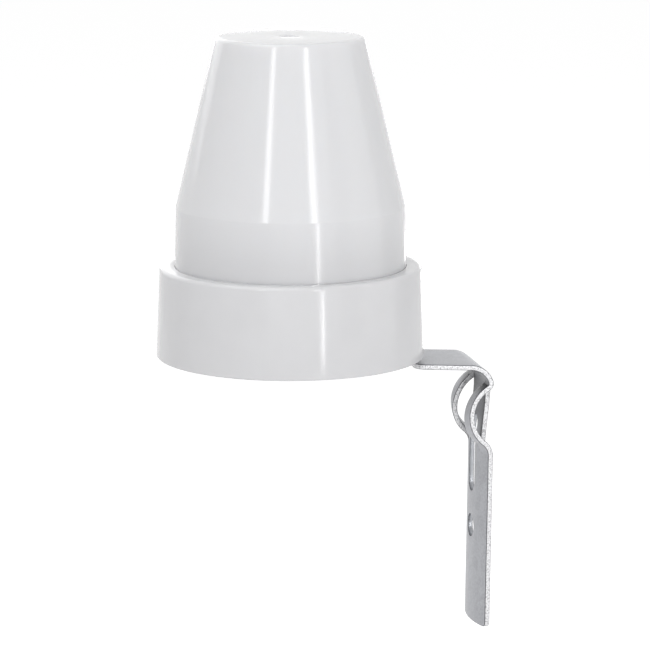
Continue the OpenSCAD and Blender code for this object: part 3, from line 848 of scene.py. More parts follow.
# Finishes of the board and its parts
BOARD = PaperPhenolic("paper_phenolic_board", "#b98e52", 0.42)
SOLDER = Plated("bright_solder", "#c9ccd0", 0.22, metallic=1.0)
CASE = ClearMoulding("clear_blue_polycarbonate", "#9cc4ee", 0.06, ior=1.58)
RELAY_BASE = Finish("dark_blue_moulding", "#1d2f5c", 0.35)
PIN = Plated("tinned_copper", "#c4c6c8", 0.25, metallic=1.0)
COIL = WoundCopper("enamelled_copper_winding", "#b4622e", 0.3, metallic=0.7)
IRON = Plated("plated_soft_iron", "#a5a7aa", 0.33, metallic=1.0)
CONTACT = Plated("contact_brass", "#cfae66", 0.3, metallic=1.0)
SENSOR_FACE = Finish("resin_coated_ceramic", "#d9803f", 0.15)
SLEEVE = WovenSleeve("braided_glass_sleeve", "#e3e0d4", 0.8)
FILM_BOX = MouldedPlastic("yellow_moulded_box", "#d9a531", 0.4)
CAN = Plated("drawn_aluminium_can", "#b9bbbe", 0.35, metallic=1.0)
BIG_SLEEVE = StripedSleeve("black_shrunk_sleeve", "#23262b", 0.25, stripe_x=18.1)
SMALL_SLEEVE = StripedSleeve("blue_shrunk_sleeve", "#1d2c4f", 0.25, stripe_x=15.9)
EPOXY = MouldedPlastic("black_moulded_epoxy", "#222222", 0.45, grit_depth=0.006)
DIODE_BODY = BandedBody(
    "banded_black_epoxy", "#202020", 0.4, middle=14.0, bands=((1.0, 1.7, "#c9cacc"),)
)
ZENER_BODY = BandedBody(
    "banded_orange_glass", "#c4561a", 0.08, middle=-14.0, bands=((0.8, 1.3, "#161616"),)
)
RESISTOR_BODY = BandedBody(
    "banded_tan_lacquer",
    "#cfae7d",
    0.3,
    middle=-14.0,
    bands=(
        (-2.15, -1.75, "#5b3014"),
        (-1.0, -0.6, "#161616"),
        (-0.1, 0.3, "#c98a14"),
        (1.75, 2.15, "#b08a3c"),
    ),
)
SENSOR_TRACK = Finish("dark_sensor_track", "#5c1f10", 0.3)
BOBBIN = MouldedPlastic("black_bobbin", "#26272b", 0.4)
DIPPED = MouldedPlastic("blue_dipped_epoxy", "#2f6fb3", 0.2)


# The head


@dataclass
class CoverShell:
    """The milky cover: one thin turned shell with a small gate mark in its flat top."""

    skirt_r: float = 23.15
    shoulder_r: float = 22.849
    shoulder_z: float = 30.2
    crown_r: float = 14.793
    top: float = 64.1
    bottom: float = 11.5
    wall: float = 1.6
    edge_r: float = 1.0
    gate_r: float = 2.0
    gate_depth: float = 0.3

    def outline(self) -> Profile:
        """The closed half section, from the gate mark down the outside and up the inside."""
        lean = math.atan((self.shoulder_r - self.crown_r) / (self.top - self.shoulder_z))
        inner_crown = self.crown_r - self.wall + self.wall * math.tan(lean)
        ceiling = self.top - self.wall
        return rounded(
            [
                (0.0, self.top - self.gate_depth, 0),
                (self.gate_r - 0.12, self.top - self.gate_depth, 0.1),
                (self.gate_r, self.top, 0.12),
                (self.crown_r, self.top, self.edge_r),
                (self.shoulder_r, self.shoulder_z, 1.0),
                (self.skirt_r, COLLAR_TOP, 0.5),
                (self.skirt_r, self.bottom, 0.25),
                (self.skirt_r - self.wall, self.bottom, 0.25),
                (self.skirt_r - self.wall, COLLAR_TOP, 0.5),
                (self.shoulder_r - self.wall, self.shoulder_z, 3.0),
                (inner_crown, ceiling, 0.6),
                (0.0, ceiling, 0),
            ],
            8,
        )

    def build(self) -> None:
        """Makes the shell and sets it on the cover's body."""
        piece = add_piece("cover_shell", *turned_mesh(self.outline(), segments=192))
        dress(piece, COVER_PLASTIC)
        place_piece(piece, Body.COVER, "cover_plastic", "dome_cover")


@dataclass
class BaseCup:
    """The round base: skirt, floor, socket, board posts, nut boss and ribs in one moulding."""

    foot_r: float = 27.0
    collar_r: float = 26.2
    edge_r: float = 0.8
    socket_r: float = 23.2
    ledge_z: float = 10.5
    ledge_r: float = 21.5
    skirt_r: float = 25.0
    skirt_z: float = 8.5
    outlet_r: float = 4.5
    post_r: float = 2.75
    pilot_r: float = 1.15
    pivot_r: float = 2.1
    boss_r: float = NUT_FIT_R + 1.2
    boss_h: float = 3.4
    rib_angles: tuple[float, ...] = (120.0, 180.0, 240.0)
    rib_size: Place = (12.5, 1.5)
    rib_at_r: float = 15.25
    rib_drop: float = 2.0

    def outline(self) -> Profile:
        """The closed half section of the turned part."""
        return rounded(
            [
                (self.outlet_r, FLOOR_Z, 0),
                (self.socket_r, FLOOR_Z, 0.3),
                (self.socket_r, self.skirt_z, 0.5),
                (self.skirt_r, self.skirt_z, 0.5),
                (self.skirt_r, 0, 0.25),
                (self.foot_r, 0, 0.35),
                (self.collar_r, COLLAR_TOP, self.edge_r),
                (self.socket_r, COLLAR_TOP, 0.12),
                (self.socket_r, self.ledge_z, 0.1),
                (self.ledge_r, self.ledge_z, 0.25),
                (self.ledge_r, FLOOR_TOP, 0.4),
                (self.outlet_r, FLOOR_TOP, 0),
            ]
        )

    def added(self) -> list[Object]:
        """The nut's boss, the board's posts and the ribs under the floor."""
        root = FLOOR_TOP - 1
        boss = circle((PIVOT_X, 0), self.boss_r, 64)
        solids = [add_piece("boss", *prism_mesh(boss, root, FLOOR_TOP + self.boss_h))]
        for angle in POST_ANGLES:
            post = circle(polar(POST_R, angle), self.post_r)
            solids.append(add_piece("post", *prism_mesh(post, root, BOARD_Z)))
        for angle in self.rib_angles:
            rib = rounded_box(polar(self.rib_at_r, angle), self.rib_size, 0.2, angle)
            solids.append(add_piece("rib", *prism_mesh(rib, FLOOR_Z - self.rib_drop, root)))
        return solids

    def cut_away(self) -> list[Object]:
        """The nut's pocket, the pivot screw's hole and the board screws' pilot holes."""
        pocket = [polar(NUT_FIT_R, 60 * k, (PIVOT_X, 0)) for k in range(6)]
        hole = circle((PIVOT_X, 0), self.pivot_r)
        solids = [
            add_piece("pocket", *prism_mesh(pocket, FLOOR_TOP, FLOOR_TOP + 5)),
            add_piece("hole", *prism_mesh(hole, FLOOR_Z - 1, FLOOR_TOP + 1)),
        ]
        for angle in POST_ANGLES:
            pilot = circle(polar(POST_R, angle), self.pilot_r, 24)
            solids.append(add_piece("pilot", *prism_mesh(pilot, FLOOR_TOP, BOARD_Z + 1)))
        return solids

    def build(self) -> None:
        """Makes the moulding and sets it on the head's body."""
        piece = add_piece("base_moulding", *turned_mesh(self.outline(), segments=192))
        combine(piece, self.added(), "UNION")
        combine(piece, self.cut_away(), "DIFFERENCE")
        shade(piece.data, 30)
        dress(piece, BASE_PLASTIC)
        place_piece(piece, Body.HEAD, "base_plastic", "base_cup")


@dataclass
class CableBush:
    """The rubber bush in the floor's hole, with a rounded flange on either side."""

    bore_r: float = 3.0
    neck_r: float = 4.45
    flange_r: float = 5.55
    bottom: float = 4.8
    top: float = 9.2

    def build(self) -> None:
        """Makes the bush and sets it on the head's body."""
        outline = rounded(
            [
                (self.bore_r, self.bottom, 0.4),
                (self.flange_r, self.bottom, 0.5),
                (self.flange_r, FLOOR_Z, 0.15),
                (self.neck_r, FLOOR_Z, 0),
                (self.neck_r, FLOOR_TOP, 0),
                (self.flange_r, FLOOR_TOP, 0.15),
                (self.flange_r, self.top, 0.5),
                (self.bore_r, self.top, 0.4),
            ]
        )
        piece = add_piece("cable_bush", *turned_mesh(outline, segments=96))
        dress(piece, RUBBER)
        place_piece(piece, Body.HEAD, "rubber", "cable_grommet")


# The bracket


class SheetSide(IntEnum):
    """The sheet's kinds of surface, as the numbers of its materials."""

    FACE = 0
    SHEARED = 1
    BURR = 2
    PUNCHED = 3


@dataclass(frozen=True)
class Row:
    """One row of the sheet across its width.

    x and z are the row's place on the face nearer the head, nx and nz point through the sheet
    to its outer face, down is the distance along the long leg, and the row runs from inner to
    outer on both sides of the middle.
    """

    x: float
    z: float
    nx: float
    nz: float
    down: float = 0.0
    inner: float = 0.0
    outer: float = HALF_W


@dataclass
class Bracket:
    """The bracket: one piece of sheet, from the screw's eye to the end of the long leg."""

    sheet: float = 1.0
    tongue_half: float = 3.5
    strip_y: float = 5.0
    leg_start: float = 24.0
    leg_run: float = 11.6
    rim_gap: float = 1.5
    droop: float = 3.2
    bend_r: float = 4.9
    lean: float = 0.7
    leg_end: float = 56.9
    corner_r: float = 2.0
    end_corner_r: float = 1.0
    saddle_r: float = 26.0
    loop_h: float = 4.0
    loop_r: float = 7.4
    loop_down: float = 5.8
    loop_foot: float = 8.1
    fold_r: float = 0.6
    slot_r: float = 2.15
    slot_top: float = 14.0
    slot_end: float = 30.0
    hole_r: float = 2.3
    hole_z: float = 37.3
    eye_r: float = 5.0
    eye_hole_r: float = 2.1
    tongue_bend: float = 1.6
    edge_round: float = 0.1
    slit_end: float = 1.3
    longest_cell: float = 1.4

    def __post_init__(self) -> None:
        """Works out where the bend and the long leg lie."""
        droop = math.radians(self.droop)
        lean = math.radians(self.lean)
        bend_x = self.leg_start + self.leg_run * math.cos(droop) - self.bend_r * math.sin(droop)
        bend_z = -self.rim_gap - self.leg_run * math.sin(droop) - self.bend_r * math.cos(droop)
        self.long_x = bend_x + self.bend_r * math.cos(lean)
        self.long_z = bend_z - self.bend_r * math.sin(lean)
        self.long_l = (self.long_z + self.leg_end) / math.cos(lean)
        self.turn = 90 - self.droop + self.lean
        self.loop_end = self.loop_down + self.loop_foot
        self.foot = 2 * math.degrees(math.atan(self.loop_h / self.loop_foot))
        self.fillet_r = self.loop_foot / math.sin(math.radians(self.foot)) - self.loop_r
        self.find_fold()

    def find_fold(self) -> None:
        """Finds the small round that joins the bend to a strip's bow.

        It touches the bend's inner face from inside and the bow's from outside. Places are
        complex numbers: the distance down the long leg, and the distance outwards.
        """
        bend = complex(0, -self.bend_r)
        bow = complex(self.loop_down, self.loop_r - self.sheet - self.loop_h)
        near = self.bend_r - self.sheet - self.fold_r
        far = self.loop_r + self.fold_r
        gap = abs(bow - bend)
        along = (near**2 - far**2 + gap**2) / (2 * gap)
        aside = math.sqrt(near**2 - along**2)
        self.fold_at = bend + (bow - bend) / gap * complex(along, aside)
        from_bend = self.fold_at - bend
        from_bow = self.fold_at - bow
        self.fold = math.degrees(math.atan2(-from_bend.real, from_bend.imag))
        self.bow_top = math.degrees(math.atan2(-from_bow.real, -from_bow.imag))

    def sag(self, y: float) -> float:
        """How far the hollow face stands back from its edges' plane at y, from the middle."""
        return self.saddle_r - math.sqrt(self.saddle_r**2 - y * y)

    def leg_row(
        self, s: float, n: float, slope: float, inner: float = 0.0, outer: float = HALF_W
    ) -> Row:
        """A row in the long leg's own frame.

        Args:
            s: The distance down the leg.
            n: The distance outwards.
            slope: The sheet's slope there, in degrees.
            inner: Where the row begins, from the middle.
            outer: Where it ends.

        Returns:
            The row in the head's frame.
        """
        turn = math.radians(90 + self.lean)
        normal = math.radians(slope) + turn
        return Row(
            self.long_x + s * math.cos(turn) + n * math.sin(turn),
            self.long_z - s * math.sin(turn) + n * math.cos(turn),
            math.sin(normal),
            math.cos(normal),
            s,
            inner,
            outer,
        )

    def bend_row(self, b: float, back: float = 0.0, outer: float = HALF_W) -> Row:
        """A row of the bend, b degrees before its end, or of the wide leg behind it."""
        turn = math.radians(b)
        inside = self.bend_r - self.sheet
        s = -inside * math.sin(turn) - back * math.cos(turn)
        n = inside * math.cos(turn) - self.bend_r - back * math.sin(turn)
        return self.leg_row(s, n, -b, 0.0, outer)

    def corner(self, from_end: float, radius: float) -> float:
        """The half width at a distance from an end whose corners have that radius."""
        if from_end >= radius:
            return HALF_W
        chord = radius**2 - (radius - from_end) ** 2
        return HALF_W - radius + math.sqrt(max(0.0, chord))

    def opening(self, s: float) -> float:
        """The half width of the slot or the hole at a distance down the long leg."""
        down = self.long_z - s * math.cos(math.radians(self.lean))
        hole = self.hole_r**2 - (down + self.hole_z) ** 2
        low, high = -self.slot_end + self.slot_r, -self.slot_top - self.slot_r
        off = max(0.0, down - high, low - down)
        slot = self.slot_r**2 - off**2
        return math.sqrt(max(0.0, hole, slot))

    def long_steps(self) -> list[float]:
        """Distances down the long leg at which a row is needed."""
        cosine = math.cos(math.radians(self.lean))
        steps = {0.0, self.loop_end, self.long_l}
        for centre, radius, first, last in (
            (self.slot_top + self.slot_r, self.slot_r, 90, 180),
            (self.slot_end - self.slot_r, self.slot_r, 0, 90),
            (self.hole_z, self.hole_r, 0, 180),
        ):
            for k in range(first, last + 1, 10):
                depth = centre + radius * math.cos(math.radians(k))
                steps.add((self.long_z + depth) / cosine)
        for k in range(0, 91, 10):
            steps.add(self.long_l - self.end_corner_r * (1 - math.cos(math.radians(k))))
        marks = sorted(steps)
        for low, high in zip(marks[:-1], marks[1:]):
            parts = math.ceil((high - low) / self.longest_cell)
            steps |= {low + (high - low) * k / parts for k in range(parts)}
        kept: list[float] = []
        for s in sorted(steps):
            if not kept or s - kept[-1] > 0.002:
                kept.append(s)
        return kept

    def tongue_rows(self) -> list[Row]:
        """The eye, the tongue under the floor, and its two bends down to the wide leg."""
        xs = {PIVOT_X - self.eye_r * math.cos(math.radians(k)) for k in range(0, 66, 8)}
        xs |= {PIVOT_X - self.eye_hole_r * math.cos(math.radians(k)) for k in range(0, 181, 15)}
        riser = self.leg_start - self.tongue_bend + self.sheet
        shoulder = PIVOT_X + math.sqrt(self.eye_r**2 - self.tongue_half**2)
        xs |= {shoulder - 1.2, shoulder - 0.5, shoulder, shoulder + 2, riser - self.tongue_bend}
        rows = []
        for x in sorted(xs):
            off = x - PIVOT_X
            eye = math.sqrt(max(0.0, self.eye_r**2 - off * off))
            inner = math.sqrt(max(0.0, self.eye_hole_r**2 - off * off))
            outer = eye if off < 0 else max(eye, self.tongue_half)
            rows.append(Row(x, FLOOR_Z - self.sheet, 0, 1, 0.0, inner, outer))
        inside = self.tongue_bend - self.sheet
        top = (riser - self.tongue_bend, FLOOR_Z - self.tongue_bend)
        foot = (riser + inside, -self.rim_gap - self.sheet + self.tongue_bend)
        for k in range(75, -1, -15):
            turn = math.radians(k)
            nx, nz = math.cos(turn), math.sin(turn)
            x, z = top[0] + inside * nx, top[1] + inside * nz
            rows.append(Row(x, z, nx, nz, 0.0, 0.0, self.tongue_half))
        for k in range(180, 266, 15):
            turn = math.radians(k)
            nx, nz = math.cos(turn), math.sin(turn)
            x, z = foot[0] + self.tongue_bend * nx, foot[1] + self.tongue_bend * nz
            rows.append(Row(x, z, -nx, -nz, 0.0, 0.0, self.tongue_half))
        return rows

    def top_rows(self) -> list[Row]:
        """The wide leg, and the bend down to where the strips fold out."""
        ends = [self.corner_r * (1 - math.cos(math.radians(k))) for k in range(0, 91, 10)]
        ends += [self.corner_r + 1.6 * k for k in range(1, 6)]
        rows = [
            self.bend_row(self.turn, self.leg_run - end, self.corner(end, self.corner_r))
            for end in ends
        ]
        steps = 28
        rows += [
            self.bend_row(self.turn + (self.fold - self.turn) * k / steps) for k in range(steps + 1)
        ]
        return rows

    def middle_rows(self) -> list[Row]:
        """The sheet between the strips, from the fold to the strips' feet."""
        rows = [self.bend_row(self.fold * (1 - k / 4), 0.0, self.strip_y) for k in range(4)]
        rows += [
            self.leg_row(s, -self.sheet, 0, self.opening(s), self.strip_y)
            for s in self.long_steps()
            if s <= self.loop_end + 0.001
        ]
        return rows

    def strip_rows(self) -> list[Row]:
        """A bowed strip: from the fold over the round crown to the fillet at its foot."""
        rows = [self.bend_row(self.fold)]
        for k in range(1, 9):
            a = (self.bow_top + self.fold) * k / 8 - self.fold
            spot = self.fold_at + self.fold_r * cmath.rect(1, math.radians(90 - a))
            rows.append(self.leg_row(spot.real, spot.imag, a))
        steps = 36
        for k in range(1, steps + 1):
            a = self.bow_top - k * (self.bow_top + self.foot) / steps
            turn = math.radians(a)
            s = self.loop_down - self.loop_r * math.sin(turn)
            n = -self.sheet - self.loop_h + self.loop_r * (1 - math.cos(turn))
            rows.append(self.leg_row(s, n, a))
        for k in range(1, 15):
            a = self.foot * (1 - k / 14)
            turn = math.radians(a)
            s = self.loop_end - self.fillet_r * math.sin(turn)
            n = -self.sheet - self.fillet_r * (1 - math.cos(turn))
            rows.append(self.leg_row(s, n, -a))
        return rows

    def lower_rows(self) -> list[Row]:
        """The long leg below the strips."""
        rows = []
        for s in self.long_steps():
            if s >= self.loop_end - 0.001:
                outer = self.corner(self.long_l - s, self.end_corner_r)
                rows.append(self.leg_row(s, -self.sheet, 0, self.opening(s), outer))
        return rows

    def point(self, row: Row, y: float, side: int) -> Vector:
        """A point of a row on the face nearer the head (side 0) or on the outer one (1)."""
        u = min(1.0, max(0.0, row.down / self.loop_end))
        hollow = u * u * (3 - 2 * u) * (self.sag(HALF_W) - self.sag(y))
        turn = math.radians(90 + self.lean)
        return to_model(
            row.x + side * self.sheet * row.nx - hollow * math.sin(turn),
            y,
            row.z + side * self.sheet * row.nz - hollow * math.cos(turn),
        )

    def across(
        self, row: Row, parts: list[tuple[float | None, int]], start: float | None
    ) -> list[float]:
        """The places across a row.

        Args:
            row: The row.
            parts: For each part of the width, where it ends (None: the row's end) and its cells.
            start: Where the first part begins (None: the row's beginning).

        Returns:
            The distances from the middle.
        """
        low = row.inner if start is None else start
        places = [low]
        for end, cells in parts:
            high = row.outer if end is None else end
            places += [low + (high - low) * k / cells for k in range(1, cells + 1)]
            low = high
        return places

    def sheet_mesh(self) -> Object:
        """The whole sheet: both faces, and the sheared edges that close it."""
        full = [(self.tongue_half, 4), (self.strip_y, 2), (None, 3)]
        top = self.top_rows()
        patches = [
            (self.tongue_rows() + top[:1], [(self.tongue_half, 4)], None),
            (top, full, None),
            (self.middle_rows(), full[:2], None),
            (self.strip_rows(), [(None, 3)], self.strip_y),
            (self.lower_rows(), full, None),
        ]
        points: list[tuple[Vector, Vector]] = []
        known: dict[tuple[int, ...], int] = {}
        faces: list[tuple[int, ...]] = []

        def index(row: Row, y: float) -> int:
            """The number of a point, the same for two rows that meet there."""
            pair = (self.point(row, y, 0), self.point(row, y, 1))
            key = tuple(round(c * 2e6) for p in pair for c in p)
            if key not in known:
                known[key] = len(points)
                points.append(pair)
            return known[key]

        for rows, parts, start in patches:
            # A row of the tongue has 4 cells up to its own end, unless the wide leg shares it
            is_tongue = rows is patches[0][0]
            for above, below in zip(rows[:-1], rows[1:]):
                spans = []
                for row in (above, below):
                    own = [(None, 4)] if is_tongue and row is not top[0] else parts
                    spans.append(self.across(row, own, start))
                for side in (1, -1):
                    for k in range(len(spans[0]) - 1):
                        ring = [
                            index(above, side * spans[0][k]),
                            index(above, side * spans[0][k + 1]),
                            index(below, side * spans[1][k + 1]),
                            index(below, side * spans[1][k]),
                        ]
                        ring = [v for i, v in enumerate(ring) if v != ring[i - 1]]
                        if len(set(ring)) > 2:
                            faces.append(tuple(ring if side > 0 else ring[::-1]))
        return self.closed_sheet(points, faces)

    def closed_sheet(
        self, points: list[tuple[Vector, Vector]], faces: list[tuple[int, ...]]
    ) -> Object:
        """Closes two faces of a sheet along its open edges, and marks those to be rounded.

        Args:
            points: Each point on the face nearer the head and on the outer one.
            faces: The faces between the points.

        Returns:
            The closed piece, its faces numbered by SheetSide.
        """
        count = len(points)
        used: dict[tuple[int, int], int] = {}
        for face in faces:
            for a, b in zip(face, face[1:] + face[:1]):
                used[(a, b)] = used.get((a, b), 0) + 1
        rims = [edge for edge in used if (edge[1], edge[0]) not in used]
        walls = [(b + count, a + count, a, b) for a, b in rims]
        outer = [tuple(v + count for v in face) for face in faces]
        inner = [face[::-1] for face in faces]
        mesh = bpy.data.meshes.new("bent_bracket")
        mesh.from_pydata([p[0] for p in points] + [p[1] for p in points], [], outer + inner + walls)
        shell = bmesh.new()
        shell.from_mesh(mesh)
        bmesh.ops.recalc_face_normals(shell, faces=shell.faces)
        shell.faces.ensure_lookup_table()
        foot = min(vertex.co.z for vertex in shell.verts) + self.end_corner_r * MM
        for face in shell.faces[len(outer) + len(inner) :]:
            middle = face.calc_center_median()
            is_punched = abs(middle.y) < (self.hole_r + 0.1) * MM and middle.z > foot
            face.material_index = SheetSide.PUNCHED if is_punched else SheetSide.SHEARED
        weight = shell.edges.layers.float.new("bevel_weight_edge")
        slit_ends = [find(side) for find in (self.fold_point, self.foot_point) for side in (1, -1)]
        for edge in shell.edges:
            kinds = {face.material_index for face in edge.link_faces}
            near = min((edge.verts[0].co - end).length for end in slit_ends)
            if len(kinds) == 2 and SheetSide.FACE in kinds and near > self.slit_end * MM:
                edge[weight] = 1.0
        shell.to_mesh(mesh)
        shell.free()
        return add_object("bent_bracket", mesh)

    def fold_point(self, side: int) -> Vector:
        """Where a slit begins, at the fold."""
        return self.point(self.bend_row(self.fold), side * self.strip_y, 0)

    def foot_point(self, side: int) -> Vector:
        """Where a slit ends, at the strip's foot."""
        return self.point(self.leg_row(self.loop_end, -self.sheet, 0), side * self.strip_y, 0)

    def build(self) -> None:
        """Makes the sheet, rounds its edges and sets it on the bracket's body."""
        piece = self.sheet_mesh()
        dress(piece, SHEET, SHEET_EDGE, SHEET_BURR, PUNCHED)
        step = piece.modifiers.new("edges", "BEVEL")
        step.width = self.edge_round * MM
        step.segments = 3
        step.limit_method = "WEIGHT"
        step.use_clamp_overlap = False
        step.material = SheetSide.BURR
        baked(piece)
        shade(piece.data, 42)
        place_piece(piece, Body.BRACKET, "zinc_sheet", "bracket")


# Geometry trees


class Grower:
    """A geometry tree that is built once, and then grown on any number of pieces."""

    label = "grower"
    sizes: dict[str, str] = {}

    def __init__(self) -> None:
        """Makes the tree, with its named inputs and with its finish set last."""
        self.tree = bpy.data.node_groups.new(self.label, "GeometryNodeTree")
        face = self.tree.interface
        face.new_socket("Geometry", in_out="INPUT", socket_type="NodeSocketGeometry")
        face.new_socket("Geometry", in_out="OUTPUT", socket_type="NodeSocketGeometry")
        self.identifiers = {
            name: face.new_socket(name, in_out="INPUT", socket_type=kind).identifier
            for name, kind in {**self.sizes, "Finish": "NodeSocketMaterial"}.items()
        }
        self.entry = self.tree.nodes.new("NodeGroupInput").outputs
        whole = self.add("GeometryNodeRealizeInstances", {"Geometry": self.shape()})
        done = self.add(
            "GeometryNodeSetMaterial",
            {"Geometry": whole.outputs[0], "Material": self.entry["Finish"]},
        )
        self.add("NodeGroupOutput", {"Geometry": done.outputs[0]})

    def add(self, kind: str, inputs: dict[str | int, object], **settings: object) -> Node:
        """Adds a node to the tree."""
        return add_node(self.tree, kind, inputs, **settings)

    def shape(self) -> Socket:
        """Makes the nodes of the shape, and returns the geometry's socket."""
        return self.entry["Geometry"]

    def tube(self, path: Socket, sides: int) -> Socket:
        """Draws a circle of the wire's radius along a path, with closed ends."""
        section = self.add(
            "GeometryNodeCurvePrimitiveCircle",
            {"Resolution": sides, "Radius": self.entry["Wire Radius"]},
        )
        tube = self.add(
            "GeometryNodeCurveToMesh",
            {"Curve": path, "Profile Curve": section.outputs[0], "Fill Caps": True},
        )
        return tube.outputs[0]

    def grow(self, piece: Object, finish: Finish, values: dict[str, object]) -> Object:
        """Grows the tree on a piece, and leaves it as a plain closed mesh.

        Args:
            piece: The piece that carries the path or the points.
            finish: The finish of the grown mesh.
            values: The value of each named input, lengths in metres.

        Returns:
            The piece.
        """
        step = piece.modifiers.new("grown", "NODES")
        step.node_group = self.tree
        step[self.identifiers["Finish"]] = made(finish)
        for name, value in values.items():
            step[self.identifiers[name]] = value
        baked(piece)
        point_outwards(piece.data)
        shade(piece.data, 50)
        return piece


class WireGrower(Grower):
    """Round wires along the edges of a piece, with rounded bends and closed ends."""

    label = "wires_along_edges"
    sizes = {"Wire Radius": "NodeSocketFloat", "Bend Radius": "NodeSocketFloat"}

    def shape(self) -> Socket:
        """Rounds the paths' corners and draws a circle along them."""
        path = self.add("GeometryNodeMeshToCurve", {"Mesh": self.entry["Geometry"]})
        bent = self.add(
            "GeometryNodeFilletCurve",
            {
                "Curve": path.outputs[0],
                "Count": 6,
                "Radius": self.entry["Bend Radius"],
                "Limit Radius": True,
            },
            mode="POLY",
        )
        return self.tube(bent.outputs[0], 16)


class CopyGrower(Grower):
    """Copies of one solid, each turned about Z by its point's attribute "turn"."""

    label = "copies_on_points"
    sizes = {"Copied Solid": "NodeSocketObject"}

    def shape(self) -> Socket:
        """Sets a copy on each point."""
        solid = self.add("GeometryNodeObjectInfo", {"Object": self.entry["Copied Solid"]})
        turn = self.add("GeometryNodeInputNamedAttribute", {"Name": "turn"}, data_type="FLOAT")
        angles = self.add("ShaderNodeCombineXYZ", {"Z": turn.outputs["Attribute"]})
        placed = self.add(
            "GeometryNodeInstanceOnPoints",
            {
                "Points": self.entry["Geometry"],
                "Instance": solid.outputs["Geometry"],
                "Rotation": angles.outputs[0],
            },
        )
        return placed.outputs[0]


class WindingGrower(Grower):
    """A winding of touching turns that rises from each point of a piece."""

    label = "winding_on_points"
    sizes = {
        "Wire Radius": "NodeSocketFloat",
        "Winding Radius": "NodeSocketFloat",
        "Height": "NodeSocketFloat",
        "Turns": "NodeSocketFloat",
    }

    def shape(self) -> Socket:
        """Draws a circle along a helix and sets it on each point."""
        helix = self.add(
            "GeometryNodeCurveSpiral",
            {
                "Resolution": 40,
                "Rotations": self.entry["Turns"],
                "Start Radius": self.entry["Winding Radius"],
                "End Radius": self.entry["Winding Radius"],
                "Height": self.entry["Height"],
            },
        )
        winding = self.add(
            "GeometryNodeInstanceOnPoints",
            {"Points": self.entry["Geometry"], "Instance": self.tube(helix.outputs[0], 8)},
        )
        return winding.outputs[0]


@cache
def grower(kind: type[Grower]) -> Grower:
    """The one tree of its kind."""
    return kind()


def wires(
    name: str, paths: list[list[Point]], radius: float, finish: Finish, bend: float = 0.6
) -> Object:
    """Grows round wires along paths.

    Args:
        name: The piece's name.
        paths: The corners of each path, in the head's frame.
        radius: The wires' radius, in millimetres.
        finish: The wires' finish.
        bend: The radius of the wires' bends, in millimetres.

    Returns:
        The piece.
    """
    points: list[Vector] = []
    edges: list[tuple[int, int]] = []
    for path in paths:
        edges += [(len(points) + i, len(points) + i + 1) for i in range(len(path) - 1)]
        points += [to_model(*corner) for corner in path]
    mesh = bpy.data.meshes.new(name)
    mesh.from_pydata(points, edges, [])
    sizes = {"Wire Radius": radius * MM, "Bend Radius": bend * MM}
    return grower(WireGrower).grow(add_object(name, mesh), finish, sizes)


def copies(
    name: str,
    solid: Object,
    places: list[Point],
    finish: Finish,
    turns: tuple[float, ...] = (),
) -> Object:
    """Grows copies of a solid, which is used up.

    Args:
        name: The piece's name.
        solid: The solid, about its own origin.
        places: Where its copies go, in the head's frame.
        finish: The copies' finish.
        turns: How far each copy is turned about Z, in degrees, where they are turned.

    Returns:
        The piece.
    """
    mesh = bpy.data.meshes.new(name)
    mesh.from_pydata([to_model(*place) for place in places], [], [])
    turn = mesh.attributes.new("turn", "FLOAT", "POINT")
    for k, angle in enumerate(turns or (0.0,) * len(places)):
        turn.data[k].value = math.radians(angle)
    piece = add_object(name, mesh)
    grower(CopyGrower).grow(piece, finish, {"Copied Solid": solid})
    bpy.data.objects.remove(solid)
    return piece


# The pivot screw under the floor


